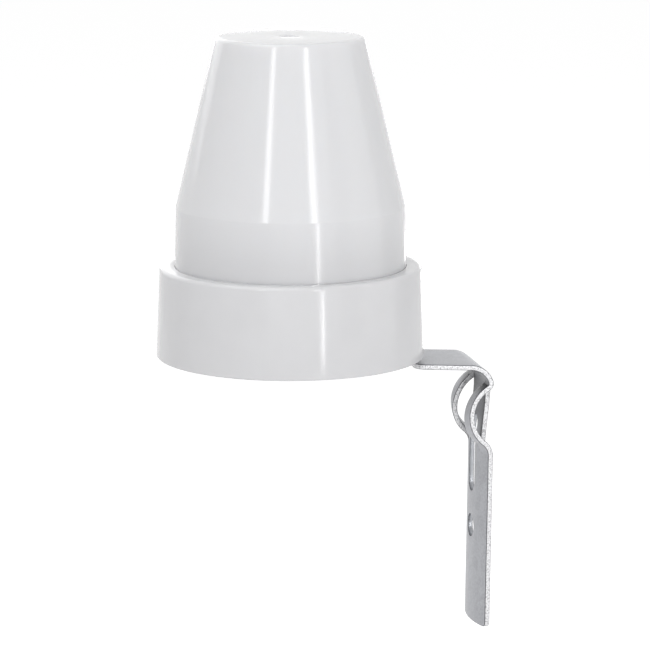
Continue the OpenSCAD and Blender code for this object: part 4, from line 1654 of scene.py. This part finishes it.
@dataclass
class PivotHardware:
    """The screw that holds the bracket under the floor, with its washers and its nut."""

    head_r: float = 4.0
    head_bottom: float = 0.9
    seat: float = 3.3
    spring_top: float = 4.2
    washer_top: float = 5.0
    nut_top: float = 11.2
    shank_r: float = 1.98
    root_r: float = 1.62
    pitch: float = 0.7
    bore_r: float = 2.12
    nut_thread_r: float = 2.02
    nut_corner_r: float = 3.5 / math.cos(math.radians(30))
    split: float = 0.7

    def screw(self) -> Object:
        """The pan head with its cross recess, and the threaded shank."""
        outline = rounded(
            [
                (0, self.head_bottom, 0),
                (2.7, self.head_bottom, 1.4),
                (self.head_r, self.head_bottom + 0.9, 0.8),
                (self.head_r, self.seat, 0.15),
                (self.shank_r, self.seat, 0),
                *thread(self.seat + 0.2, self.nut_top - 0.4, self.shank_r, self.root_r, self.pitch),
                (self.root_r, self.nut_top, 0.2),
                (0, self.nut_top, 0),
            ],
            4,
        )
        piece = add_piece("pivot_screw", *turned_mesh(outline, (PIVOT_X, 0, 0), 64))
        recess = plus((PIVOT_X, 0), 4.4, 1.0)
        return cut(piece, prism_mesh(recess, self.head_bottom - 0.5, 2.2))

    def ring(self, name: str, radius: float, bottom: float, top: float) -> Object:
        """A flat washer round the screw, its edges rounded."""
        outline = rounded(
            [
                (self.bore_r, bottom, 0.1),
                (radius, bottom, 0.2),
                (radius, top, 0.2),
                (self.bore_r, top, 0.1),
            ],
            4,
        )
        return add_piece(name, *turned_mesh(outline, (PIVOT_X, 0, 0), 96))

    def nut(self) -> Object:
        """The hexagon nut, its corners chamfered by a double cone, with a threaded bore."""
        corners = [polar(self.nut_corner_r, 60 * k, (PIVOT_X, 0)) for k in range(6)]
        piece = add_piece("hexagon_nut", *prism_mesh(corners, FLOOR_TOP, self.nut_top))
        flat = 3.45
        cone = [
            (0, FLOOR_TOP - 0.01),
            (flat, FLOOR_TOP - 0.01),
            (flat + 1.2, FLOOR_TOP + 0.7),
            (flat + 1.2, self.nut_top - 0.7),
            (flat, self.nut_top + 0.01),
            (0, self.nut_top + 0.01),
        ]
        bore = rounded(
            [
                (0, FLOOR_TOP - 1, 0),
                (self.bore_r + 0.2, FLOOR_TOP - 1, 0),
                (self.bore_r + 0.2, FLOOR_TOP + 0.2, 0),
                *thread(
                    FLOOR_TOP + 0.2, self.nut_top - 0.2, self.bore_r, self.nut_thread_r, self.pitch
                ),
                (self.bore_r + 0.2, self.nut_top - 0.1, 0),
                (self.bore_r + 0.2, self.nut_top + 1, 0),
                (0, self.nut_top + 1, 0),
            ]
        )
        centre = (PIVOT_X, 0, 0)
        combine(piece, [add_piece("cone", *turned_mesh(cone, centre, 96))], "INTERSECT")
        return cut(piece, turned_mesh(bore, centre, 64))

    def build(self) -> None:
        """Makes the four pieces and sets them on the head's body."""
        spring = self.ring("split_spring_washer", 3.7, self.seat, self.spring_top)
        gap = rounded_box((PIVOT_X + 3, 0), (4, self.split), 0.1)
        cut(spring, prism_mesh(gap, self.seat - 1, self.spring_top + 1))
        pieces = {
            "bracket_screw": self.screw(),
            "spring_washer": spring,
            "bracket_washer": self.ring("plain_washer", 4.5, self.spring_top, self.washer_top),
            "bracket_nut": self.nut(),
        }
        for node, piece in pieces.items():
            shade(piece.data, 35)
            dress(piece, HARDWARE)
            place_piece(piece, Body.HEAD, "zinc_hardware", node)


# The board and what it carries


@dataclass(frozen=True)
class Lead:
    """A wire that goes down through the board: its place and its radius."""

    x: float
    y: float
    radius: float


@dataclass
class BoardPart:
    """A part that stands on the board, or a set of equal parts."""

    node: str = ""
    slot: str = ""

    def leads(self) -> list[Lead]:
        """The part's leads through the board."""
        return []

    def build(self) -> None:
        """Makes the part's pieces and sets them on the head's body."""

    def set_down(self, piece: Object, main: bool = True) -> None:
        """Sets a piece on the head's body. The main piece stands for the part's node."""
        place_piece(piece, Body.HEAD, self.slot, *([self.node] if main else []))

    def straight_leads(self, z: float) -> Object:
        """The part's leads as upright wires from a height down to their stubs."""
        leads = self.leads()
        paths = [[(lead.x, lead.y, z), (lead.x, lead.y, LEAD_END)] for lead in leads]
        return wires(f"{self.node}_leads", paths, leads[0].radius, PIN)


@dataclass
class AxialParts(BoardPart):
    """A row of axial parts along Y: turned bodies and the wires bent down at their ends."""

    shares: tuple[float, ...] = ()
    row_share: float = 0.0
    body_d: float = 2.2
    body_l: float = 5.2
    pitch: float = 6.8
    wire_r: float = 0.3
    waist: float = 0.0
    finish: Finish | None = None

    def middles(self) -> list[Place]:
        """Where the bodies' middles stand."""
        return [on_board(share, self.row_share) for share in self.shares]

    def leads(self) -> list[Lead]:
        """Two leads for each part."""
        ends = (-self.pitch / 2, self.pitch / 2)
        return [Lead(x, y + end, self.wire_r) for x, y in self.middles() for end in ends]

    def outline(self) -> Profile:
        """Half of the body's outline, with bulged ends where the part has a waist."""
        r, half = self.body_d / 2, self.body_l / 2
        corners = [(0, -half, 0), (r * 0.8, -half, 0.25), (r, -half + 0.3, 0.35)]
        if self.waist > 0:
            for side in (-1, 1):
                pair = [(r, side * half / 2, 0.35), (r - self.waist, side * half * 0.36, 0.4)]
                corners += pair if side < 0 else pair[::-1]
        corners += [(r, half - 0.3, 0.35), (r * 0.8, half, 0.25), (0, half, 0)]
        return rounded(corners, 5)

    def build(self) -> None:
        """Makes the bodies and the leads."""
        z = PART_Z + self.body_d / 2
        lie_down = Matrix.Rotation(math.radians(-90), 4, "X")
        body = add_local("body", turned_mesh(self.outline(), segments=40), lie_down)
        places = [(*middle, z) for middle in self.middles()]
        self.set_down(copies(f"{self.node}_bodies", body, places, self.finish))
        paths = []
        for x, y in self.middles():
            low, high = y - self.pitch / 2, y + self.pitch / 2
            paths.append([(x, low, LEAD_END), (x, low, z), (x, high, z), (x, high, LEAD_END)])
        bend = min(0.8, (self.pitch - self.body_l) / 2)
        self.set_down(wires(f"{self.node}_leads", paths, self.wire_r, PIN, bend), False)


@dataclass
class CanCapacitor(BoardPart):
    """An electrolytic capacitor: a scored can in a shrunk sleeve with a rolled groove."""

    at: Place = (0, 0)
    d: float = 8.0
    h: float = 12.0
    pitch: float = 3.5
    wall: float = 0.25
    fold: float = 0.8
    groove_share: float = 0.16
    groove_half: float = 0.7
    groove_depth: float = 0.3
    score_share: float = 0.62
    finish: Finish | None = None

    def leads(self) -> list[Lead]:
        """Its two leads, along X."""
        return [Lead(self.at[0] + side * self.pitch / 2, self.at[1], 0.3) for side in (-1, 1)]

    def build(self) -> None:
        """Makes the sleeve, the can and the leads."""
        r, h, groove = self.d / 2, self.h, self.h * self.groove_share
        inner_r = r - self.wall
        low, high = groove - self.groove_half, groove + self.groove_half
        centre = (*self.at, PART_Z)
        sleeve = rounded(
            [
                (r - 0.9, 0, 0.05),
                (r, 0, 0.3),
                (r, low, 0.4),
                (r - self.groove_depth, groove, 0.35),
                (r, high, 0.4),
                (r, h, 0.5),
                (r - self.fold, h, 0.06),
                (r - self.fold, h - 0.14, 0.04),
                (inner_r, h - 0.5, 0.1),
                (inner_r, high + 0.1, 0),
                (inner_r - self.groove_depth, groove, 0),
                (inner_r, low - 0.1, 0),
                (inner_r, self.wall, 0),
                (r - 0.9, self.wall, 0),
            ],
            4,
        )
        piece = add_piece(f"{self.node}_sleeve", *turned_mesh(sleeve, centre, 80))
        dress(piece, self.finish)
        self.set_down(piece)
        top = h - 0.2
        shell = [(0, 0.15), (r - 0.6, 0.15), (r - 0.6, top), (0, top)]
        can = add_piece(f"{self.node}_can", *turned_mesh(shell, centre, 80))
        score = plus(self.at, self.d * self.score_share, 0.3)
        cut(can, prism_mesh(score, PART_Z + top - 0.12, PART_Z + top + 1))
        shade(can.data, 30)
        dress(can, CAN)
        self.set_down(can, False)
        self.set_down(self.straight_leads(BOARD_TOP + 0.5), False)


@dataclass
class FilmCapacitor(BoardPart):
    """The boxed capacitor: a moulding with rounded edges on four small feet."""

    node: str = "film_capacitor"
    slot: str = "film_box"
    at: Place = on_board(0.346, 0.0)
    size: Place = (6.8, 16.0)
    h: float = 13.0
    pitch: float = 12.0

    def leads(self) -> list[Lead]:
        """Its two leads, along Y."""
        return [Lead(self.at[0], self.at[1] + side * self.pitch / 2, 0.4) for side in (-1, 1)]

    def build(self) -> None:
        """Makes the box and the leads."""
        bottom = PART_Z
        box = rounded_box(self.at, self.size, 0.6)
        piece = add_piece("film_capacitor_box", *prism_mesh(box, bottom, bottom + self.h))
        soften(piece, 0.35)
        a, b = (side / 2 - 0.9 for side in self.size)
        feet = []
        for x, y in ((-a, -b), (-a, b), (a, -b), (a, b)):
            foot = circle((self.at[0] + x, self.at[1] + y), 0.5, 24)
            feet.append(add_piece("foot", *prism_mesh(foot, BOARD_TOP, bottom + 0.5)))
        combine(piece, feet, "UNION")
        shade(piece.data, 40)
        dress(piece, FILM_BOX)
        self.set_down(piece)
        self.set_down(self.straight_leads(bottom + 0.5), False)


@dataclass
class Varistor(BoardPart):
    """The dipped disc: a lens of epoxy that runs a little way down its two leads."""

    node: str = "varistor"
    slot: str = "varistor_blue"
    at: Place = on_board(0.644, 0.454)
    d: float = 7.0
    t: float = 3.6
    pitch: float = 5.0
    turn: float = 125.0

    def leads(self) -> list[Lead]:
        """Its two leads, in the disc's plane."""
        arms = (-self.pitch / 2, self.pitch / 2)
        return [Lead(*polar(arm, self.turn, self.at), 0.3) for arm in arms]

    def build(self) -> None:
        """Makes the disc, the runs and the leads."""
        r, half = self.d / 2, self.t / 2
        lens = rounded(
            [
                (0, -half, 0),
                (r - 1.2, -half, 1.2),
                (r, -half * 0.5, 0.9),
                (r, half * 0.5, 0.9),
                (r - 1.2, half, 1.2),
                (0, half, 0),
            ],
            6,
        )
        turn = Matrix.Rotation(math.radians(self.turn), 4, "Z")
        upright = turn @ Matrix.Rotation(math.radians(90), 4, "X")
        disc = add_local("disc", turned_mesh(lens, segments=64), upright)
        z = BOARD_TOP + 1 + r
        self.set_down(copies("varistor_disc", disc, [(*self.at, z)], DIPPED))
        run = rounded([(0, 0, 0), (0.36, 0, 0.1), (0.75, 2.1, 0.3), (0, 2.4, 0)], 4)
        runs = add_local("run", turned_mesh(run, segments=24))
        places = [(lead.x, lead.y, BOARD_TOP + 0.6) for lead in self.leads()]
        self.set_down(copies("varistor_runs", runs, places, DIPPED), False)
        self.set_down(self.straight_leads(BOARD_TOP + 1.2), False)


@dataclass
class Transistor(BoardPart):
    """The small transistor: a round moulding with one flat face, on three leads."""

    node: str = "transistor"
    slot: str = "moulding_black"
    at: Place = on_board(0.205, -0.576)
    d: float = 4.6
    h: float = 4.6
    lift: float = 2.0
    pitch: float = 1.27
    flat_share: float = 0.6

    def leads(self) -> list[Lead]:
        """Its three leads, along X."""
        return [Lead(self.at[0] + i * self.pitch, self.at[1], 0.25) for i in (-1, 0, 1)]

    def build(self) -> None:
        """Makes the body and the leads."""
        r = self.d / 2
        first = 180 - math.degrees(math.asin(self.flat_share))
        sweep = 540 - 2 * first
        body = [polar(r, first + sweep * k / 36, self.at) for k in range(37)]
        bottom = BOARD_TOP + self.lift
        piece = add_piece("transistor_body", *prism_mesh(body, bottom, bottom + self.h))
        soften(piece, 0.22)
        dress(piece, EPOXY)
        self.set_down(piece)
        self.set_down(self.straight_leads(bottom + 0.3), False)


@dataclass
class LightSensor(BoardPart):
    """The light dependent resistor: a ceramic disc with its track, on two sleeved leads."""

    node: str = "light_sensor"
    slot: str = "sensor_face"
    x: float = BOARD_R * 0.12
    r: float = 2.5
    t: float = 2.0
    disc_z: float = 40.1
    pitch: float = 3.4
    lead_r: float = 0.25
    sleeve_r: float = 0.6
    sleeve_top: float = 38.1
    passes: int = 7
    track_pitch: float = 0.58
    track_fill: float = 0.92
    rim: float = 0.45

    def leads(self) -> list[Lead]:
        """Its two leads, along Y."""
        return [Lead(self.x, side * self.pitch / 2, self.lead_r) for side in (-1, 1)]

    def track(self) -> list[Point]:
        """The track's path: to and fro across the disc's face."""
        points = []
        z = self.disc_z + self.t - 0.02
        for i in range(self.passes):
            x = (i - (self.passes - 1) / 2) * self.track_pitch
            reach = math.sqrt((self.r - self.rim) ** 2 - x * x) * self.track_fill
            side = -1 if i % 2 else 1
            points += [(self.x + x, -side * reach, z), (self.x + x, side * reach, z)]
        return points

    def build(self) -> None:
        """Makes the disc, its track, the leads and their sleeves."""
        outline = rounded([(0, 0, 0), (self.r, 0, 0.3), (self.r, self.t, 0.2), (0, self.t, 0)], 4)
        centre = (self.x, 0, self.disc_z)
        disc = add_piece("sensor_disc", *turned_mesh(outline, centre, 80))
        dress(disc, SENSOR_FACE)
        self.set_down(disc)
        self.set_down(wires("sensor_track", [self.track()], 0.1, SENSOR_TRACK, 0.25), False)
        self.set_down(self.straight_leads(self.disc_z + 0.5), False)
        wall = [
            (self.lead_r + 0.05, 0, 0),
            (self.sleeve_r, 0, 0.08),
            (self.sleeve_r, self.sleeve_top - BOARD_TOP, 0.08),
            (self.lead_r + 0.05, self.sleeve_top - BOARD_TOP, 0.05),
        ]
        sleeve = add_local("sleeve", turned_mesh(rounded(wall, 3), segments=32))
        places = [(lead.x, lead.y, BOARD_TOP) for lead in self.leads()]
        pair = copies("lead_sleeves", sleeve, places, SLEEVE)
        place_piece(pair, Body.HEAD, "sleeve", "sensor_sleeves")


@dataclass
class Relay(BoardPart):
    """The power relay: a clear cover over the coil on its bobbin.

    Its base, pins, yoke, contacts and armature keep their plain stamped shapes.
    """

    node: str = "relay_case"
    slot: str = "relay_case"
    x: float = BOARD_R * -0.315
    size: Place = (15.5, 19.0)
    h: float = 15.6
    wall: float = 0.8
    coil_y: float = 1.6
    bobbin_bottom: float = 3.2
    bobbin_top: float = 11.3
    flange_r: float = 4.6
    flange_t: float = 0.8
    bore_r: float = 2.06
    winding_r: float = 4.2
    wire_r: float = 0.13
    pins: tuple[Place, ...] = ((-6, 4), (6, 4), (-2.35, -8), (2.35, -8), (0, 7.4))

    def leads(self) -> list[Lead]:
        """The coil's, the contacts' and the yoke's pins."""
        return [Lead(self.x + x, y, 0.45) for x, y in self.pins]

    def cover(self) -> Object:
        """The clear cover: a thin box, open below, its outer edges rounded."""
        outer = rounded_box((self.x, 0), self.size, 0.9)
        piece = add_piece("clear_relay_cover", *prism_mesh(outer, BOARD_TOP, BOARD_TOP + self.h))
        soften(piece, 0.3)
        room = (self.size[0] - 2 * self.wall, self.size[1] - 2 * self.wall)
        inner = rounded_box((self.x, 0), room, 0.15, 0.0, 2)
        cut(piece, prism_mesh(inner, BOARD_TOP - 1, BOARD_TOP + self.h - self.wall))
        shade(piece.data, 30)
        dress(piece, CASE)
        return piece

    def build(self) -> None:
        """Makes the cover, the bobbin and the winding."""
        self.set_down(self.cover())
        low, high = self.bobbin_bottom + self.flange_t, self.bobbin_top - self.flange_t
        drum = self.winding_r - 2 * self.wire_r + 0.05
        outline = rounded(
            [
                (self.bore_r, self.bobbin_bottom, 0),
                (self.flange_r, self.bobbin_bottom, 0.15),
                (self.flange_r, low, 0.15),
                (drum, low, 0),
                (drum, high, 0),
                (self.flange_r, high, 0.15),
                (self.flange_r, self.bobbin_top, 0.15),
                (self.bore_r, self.bobbin_top, 0),
            ],
            4,
        )
        centre = (self.x, self.coil_y, BOARD_TOP)
        bobbin = add_piece("coil_bobbin", *turned_mesh(outline, centre, 80))
        dress(bobbin, BOBBIN)
        place_piece(bobbin, Body.HEAD, "coil", "relay_coil")
        mesh = bpy.data.meshes.new("coil_turns")
        start = BOARD_TOP + low + self.wire_r
        mesh.from_pydata([to_model(self.x, self.coil_y, start)], [], [])
        height = high - low - 2 * self.wire_r
        turns = grower(WindingGrower).grow(
            add_object("coil_turns", mesh),
            COIL,
            {
                "Wire Radius": self.wire_r * MM,
                "Winding Radius": (self.winding_r - self.wire_r) * MM,
                "Height": height * MM,
                "Turns": height / (2 * self.wire_r),
            },
        )
        place_piece(turns, Body.HEAD, "coil")


@dataclass
class BoardScrews(BoardPart):
    """The three self-tapping screws that hold the board on its posts."""

    node: str = "board_screws"
    slot: str = "zinc_hardware"
    head_r: float = 2.2
    head_h: float = 1.6
    shank_r: float = 1.1
    root_r: float = 0.8
    shank_l: float = 5.0
    turns: tuple[float, ...] = (17.0, 52.0, 81.0)

    def build(self) -> None:
        """Makes one screw and sets its copies on the posts."""
        outline = rounded(
            [
                (0, self.head_h, 0),
                (1.3, self.head_h, 0.6),
                (self.head_r, self.head_h * 0.55, 0.5),
                (self.head_r, 0, 0.12),
                (self.shank_r, 0, 0),
                *thread(-0.2, 0.8 - self.shank_l, self.shank_r, self.root_r, 0.8),
                (self.root_r, 0.7 - self.shank_l, 0),
                (0, -self.shank_l, 0),
            ],
            4,
        )
        solid = add_piece("screw", *turned_mesh(outline, segments=48))
        cut(solid, prism_mesh(plus((0, 0), 2.4, 0.6), self.head_h * 0.5, self.head_h + 1))
        solid.data.transform(Matrix.Translation(ORIGIN * MM))
        places = [(*polar(POST_R, angle), BOARD_TOP) for angle in POST_ANGLES]
        self.set_down(copies("self_tapping_screws", solid, places, HARDWARE, self.turns))


@dataclass
class SolderJoints(BoardPart):
    """The solder fillets round all the leads, under the board."""

    node: str = "solder_joints"
    slot: str = "solder"
    all_leads: list[Lead] = field(default_factory=list)
    fillet_r: float = 0.95
    fillet_h: float = 0.9

    def build(self) -> None:
        """Makes a hollow-sided fillet for each size of lead, and sets their copies."""
        sizes = sorted({lead.radius for lead in self.all_leads})
        for k, radius in enumerate(sizes):
            bore, foot = radius + 0.04, radius + 0.1
            flank = []
            for angle in range(0, 91, 15):
                turn = math.radians(angle)
                out = foot + (self.fillet_r - foot) * (1 - math.cos(turn))
                flank.append((out, -self.fillet_h * (1 - math.sin(turn))))
            outline = [(bore, 0.0), (bore, -self.fillet_h), *flank]
            solid = add_local("fillet", turned_mesh(outline, segments=20))
            places = [(w.x, w.y, BOARD_Z) for w in self.all_leads if w.radius == radius]
            piece = copies(f"solder_fillets_{k + 1}", solid, places, SOLDER)
            self.set_down(piece, k == 0)


@dataclass
class CoverSeal:
    """The flat rubber ring that the cover stands on."""

    inner_r: float = 21.7
    outer_r: float = 23.1
    bottom: float = 10.5
    top: float = 11.5

    def build(self) -> None:
        """Makes the ring and sets it on the head's body."""
        outline = rounded(
            [
                (self.inner_r, self.bottom, 0.2),
                (self.outer_r, self.bottom, 0.2),
                (self.outer_r, self.top, 0.2),
                (self.inner_r, self.top, 0.2),
            ],
            4,
        )
        piece = add_piece("cover_seal", *turned_mesh(outline, segments=128))
        dress(piece, RUBBER)
        place_piece(piece, Body.HEAD, "rubber", "cover_gasket")


def build_board_parts() -> None:
    """Makes everything that stands on the board, and then the solder round its leads."""
    parts: list[BoardPart] = [
        Relay(),
        LightSensor(),
        FilmCapacitor(),
        CanCapacitor("smoothing_capacitor", "can_sleeve", at=on_board(0.735, 0.0), finish=BIG_SLEEVE),
        CanCapacitor(
            "delay_capacitor",
            "can_sleeve",
            at=on_board(0.66, -0.474),
            d=6.2,
            h=10.0,
            pitch=2.5,
            finish=SMALL_SLEEVE,
        ),
        Varistor(),
        Transistor(),
        AxialParts(
            "rectifier_diodes",
            "moulding_black",
            shares=(-0.366, -0.21, -0.054, 0.102),
            row_share=0.683,
            body_d=2.6,
            body_l=4.6,
            pitch=7.0,
            wire_r=0.4,
            finish=DIODE_BODY,
        ),
        AxialParts(
            "zener_diode",
            "glass_orange",
            shares=(0.03,),
            row_share=-0.683,
            body_d=1.8,
            body_l=3.6,
            pitch=6.2,
            wire_r=0.25,
            finish=ZENER_BODY,
        ),
        AxialParts(
            "resistors",
            "resistor_body",
            shares=(-0.42, -0.273, -0.127),
            row_share=-0.683,
            waist=0.3,
            finish=RESISTOR_BODY,
        ),
        BoardScrews(),
    ]
    for part in parts:
        part.build()
    SolderJoints(all_leads=[lead for part in parts for lead in part.leads()]).build()


# Finishes of the pieces that keep their CAD mesh

NODE_FINISHES: dict[Finish, tuple[str, ...]] = {
    BOARD: ("circuit_board",),
    RELAY_BASE: ("relay_base",),
    PIN: ("relay_pins",),
    IRON: ("relay_yoke", "relay_armature"),
    CONTACT: ("relay_contacts",),
}


def dress_nodes(nodes: dict[str, Object]) -> None:
    """Gives each node of the frame that is still shown its finish."""
    for finish, names in NODE_FINISHES.items():
        for name in names:
            if not nodes[name].hide_render:
                dress(nodes[name], finish)
                LOG.info("%s: node finished as %s", name, finish.name)


# The studio


@dataclass(frozen=True)
class Strip:
    """An upright lamp that the plastic mirrors, on a circle round the head.

    The azimuth is counted from the camera, and low and high are the heights of its ends as
    seen from the head's middle, all in degrees. Its width is in metres.
    """

    name: str
    azimuth: float
    low: float
    high: float
    width: float
    radiance: float


STRIPS = (
    Strip("left_strip", -25.0, 13.5, 30.0, 0.075, 7.5),
    Strip("right_strip", 24.0, 6.0, 30.0, 0.085, 7.5),
    Strip("low_right_strip", 27.0, -14.0, 1.0, 0.028, 12.0),
    Strip("rear_right_strip", 163.0, -16.0, -9.5, 0.1, 2.0),
    Strip("rear_left_glow", -150.0, 4.0, 38.0, 0.7, 0.85),
    Strip("low_rear_glow", 180.0, -1.0, 4.5, 0.5, 1.9),
)


@dataclass
class Studio:
    """A pale floor, plain soft light and the camera at the photograph's viewing angle.

    The camera's place is in metres, its yaw and pitch are in radians, and its focal length is in
    pixels of a frame that is frame_px wide. Camera_side is where it stands as seen from the
    head, in degrees, and head_z is the height that the lamps are aimed at, in millimetres.
    """

    camera_at: tuple[float, float, float] = (-0.16039, -0.65178, 0.17165)
    yaw: float = 0.1961
    pitch: float = 0.1913
    focal: float = 3361.97
    frame_px: float = 650.0
    sky: float = 0.46
    floor_glow: float = 0.62
    floor_gap: float = 0.12
    head_z: float = 32.0
    camera_side: float = -100.6
    strips_r: float = 0.7

    def camera(self) -> None:
        """Makes the camera."""
        data = bpy.data.cameras.new("camera")
        data.sensor_width = 36.0
        data.lens = self.focal / self.frame_px * data.sensor_width
        data.clip_start = 0.01
        data.clip_end = 20.0
        camera = bpy.data.objects.new("camera", data)
        camera.location = self.camera_at
        camera.rotation_euler = (math.pi / 2 - self.pitch, 0.0, -self.yaw)
        bpy.context.scene.collection.objects.link(camera)
        bpy.context.scene.camera = camera

    def seen(self, tree: Tree) -> Socket:
        """1 for camera, glossy and transmission rays, which see the pale background."""
        path = add_node(tree, "ShaderNodeLightPath")
        pair = add_node(
            tree,
            "ShaderNodeMath",
            {0: path.outputs["Is Camera Ray"], 1: path.outputs["Is Glossy Ray"]},
            operation="MAXIMUM",
        )
        return add_node(
            tree,
            "ShaderNodeMath",
            {0: pair.outputs[0], 1: path.outputs["Is Transmission Ray"]},
            operation="MAXIMUM",
        ).outputs[0]

    def world(self) -> None:
        """Makes the white surroundings, which light the object at a plain level."""
        world = bpy.data.worlds.new("surroundings")
        world.use_nodes = True
        tree = world.node_tree
        tree.nodes.clear()
        light = add_node(
            tree, "ShaderNodeBackground", {"Color": (1, 1, 1, 1), "Strength": self.sky}
        )
        seen = add_node(tree, "ShaderNodeBackground", {"Color": (1, 1, 1, 1), "Strength": 1.0})
        both = add_node(
            tree,
            "ShaderNodeMixShader",
            {0: self.seen(tree), 1: light.outputs[0], 2: seen.outputs[0]},
        )
        add_node(tree, "ShaderNodeOutputWorld", {"Surface": both.outputs[0]})
        bpy.context.scene.world = world

    def floor(self, height: float) -> None:
        """Makes the floor at a height: pale, and white to the camera but for the shadow."""
        mesh = bpy.data.meshes.new("floor")
        reach = 6.0
        corners = [(-reach, -reach), (reach, -reach), (reach, reach), (-reach, reach)]
        mesh.from_pydata([(x, y, height) for x, y in corners], [], [(0, 1, 2, 3)])
        piece = add_object("floor", mesh)
        material = bpy.data.materials.new("pale_floor")
        material.use_nodes = True
        tree = material.node_tree
        tree.nodes.clear()
        matt = add_node(tree, "ShaderNodeBsdfDiffuse", {"Color": linear("#e6e6e6")})
        level = add_node(
            tree, "ShaderNodeMath", {0: self.seen(tree), 1: self.floor_glow}, operation="MULTIPLY"
        )
        glow = add_node(
            tree, "ShaderNodeEmission", {"Color": (1, 1, 1, 1), "Strength": level.outputs[0]}
        )
        both = add_node(tree, "ShaderNodeAddShader", {0: matt.outputs[0], 1: glow.outputs[0]})
        add_node(tree, "ShaderNodeOutputMaterial", {"Surface": both.outputs[0]})
        mesh.materials.append(material)
        piece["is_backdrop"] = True

    def lamp(self, name: str, at: Vector, aim: Vector, size: Pair, radiance: float) -> None:
        """Adds a rectangular lamp.

        Args:
            name: The lamp's name.
            at: Its place.
            aim: The point that it faces.
            size: Its width and height, in metres.
            radiance: How bright its face is, where white paper in full light is 1.
        """
        data = bpy.data.lights.new(name, "AREA")
        data.shape = "RECTANGLE"
        data.size, data.size_y = size
        data.energy = radiance * math.pi * size[0] * size[1]
        lamp = bpy.data.objects.new(name, data)
        lamp.location = at
        lamp.rotation_euler = (aim - at).to_track_quat("-Z", "Y").to_euler()
        bpy.context.scene.collection.objects.link(lamp)

    def lamps(self) -> None:
        """Adds the three soft lamps, and the strips that streak the plastic and the sheet."""
        head = to_model(0, 0, self.head_z)
        self.lamp("top_light", head + Vector((-0.4, -0.2, 0.8)), head, (0.9, 0.9), 1.2)
        self.lamp("side_light", head + Vector((0.9, -0.3, 0.15)), head, (0.7, 0.7), 0.6)
        self.lamp("front_light", head + Vector((0.05, -1.35, 0.05)), head, (1.7, 1.3), 0.61)
        for strip in STRIPS:
            x, y = polar(self.strips_r, self.camera_side + strip.azimuth, (head.x, head.y))
            low, high = (
                self.strips_r * math.tan(math.radians(end)) for end in (strip.low, strip.high)
            )
            at = Vector((x, y, head.z + (low + high) / 2))
            aim = Vector((head.x, head.y, at.z))
            self.lamp(strip.name, at, aim, (strip.width, high - low), strip.radiance)

    def build(self, lowest: float) -> None:
        """Makes the whole studio, its floor below the lowest point."""
        self.camera()
        self.world()
        self.floor(lowest - self.floor_gap)
        self.lamps()
        bpy.context.scene.view_settings.view_transform = "Standard"


def main() -> None:
    """Builds the looks round the frame, and then the studio."""
    logging.basicConfig(level=logging.INFO, format="%(message)s")
    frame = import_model()
    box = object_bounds()
    CoverShell().build()
    BaseCup().build()
    CableBush().build()
    CoverSeal().build()
    Bracket().build()
    PivotHardware().build()
    build_board_parts()
    dress_nodes(frame["nodes"])
    Studio().build(box[0].z)
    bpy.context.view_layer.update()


if __name__ == "__main__":
    main()
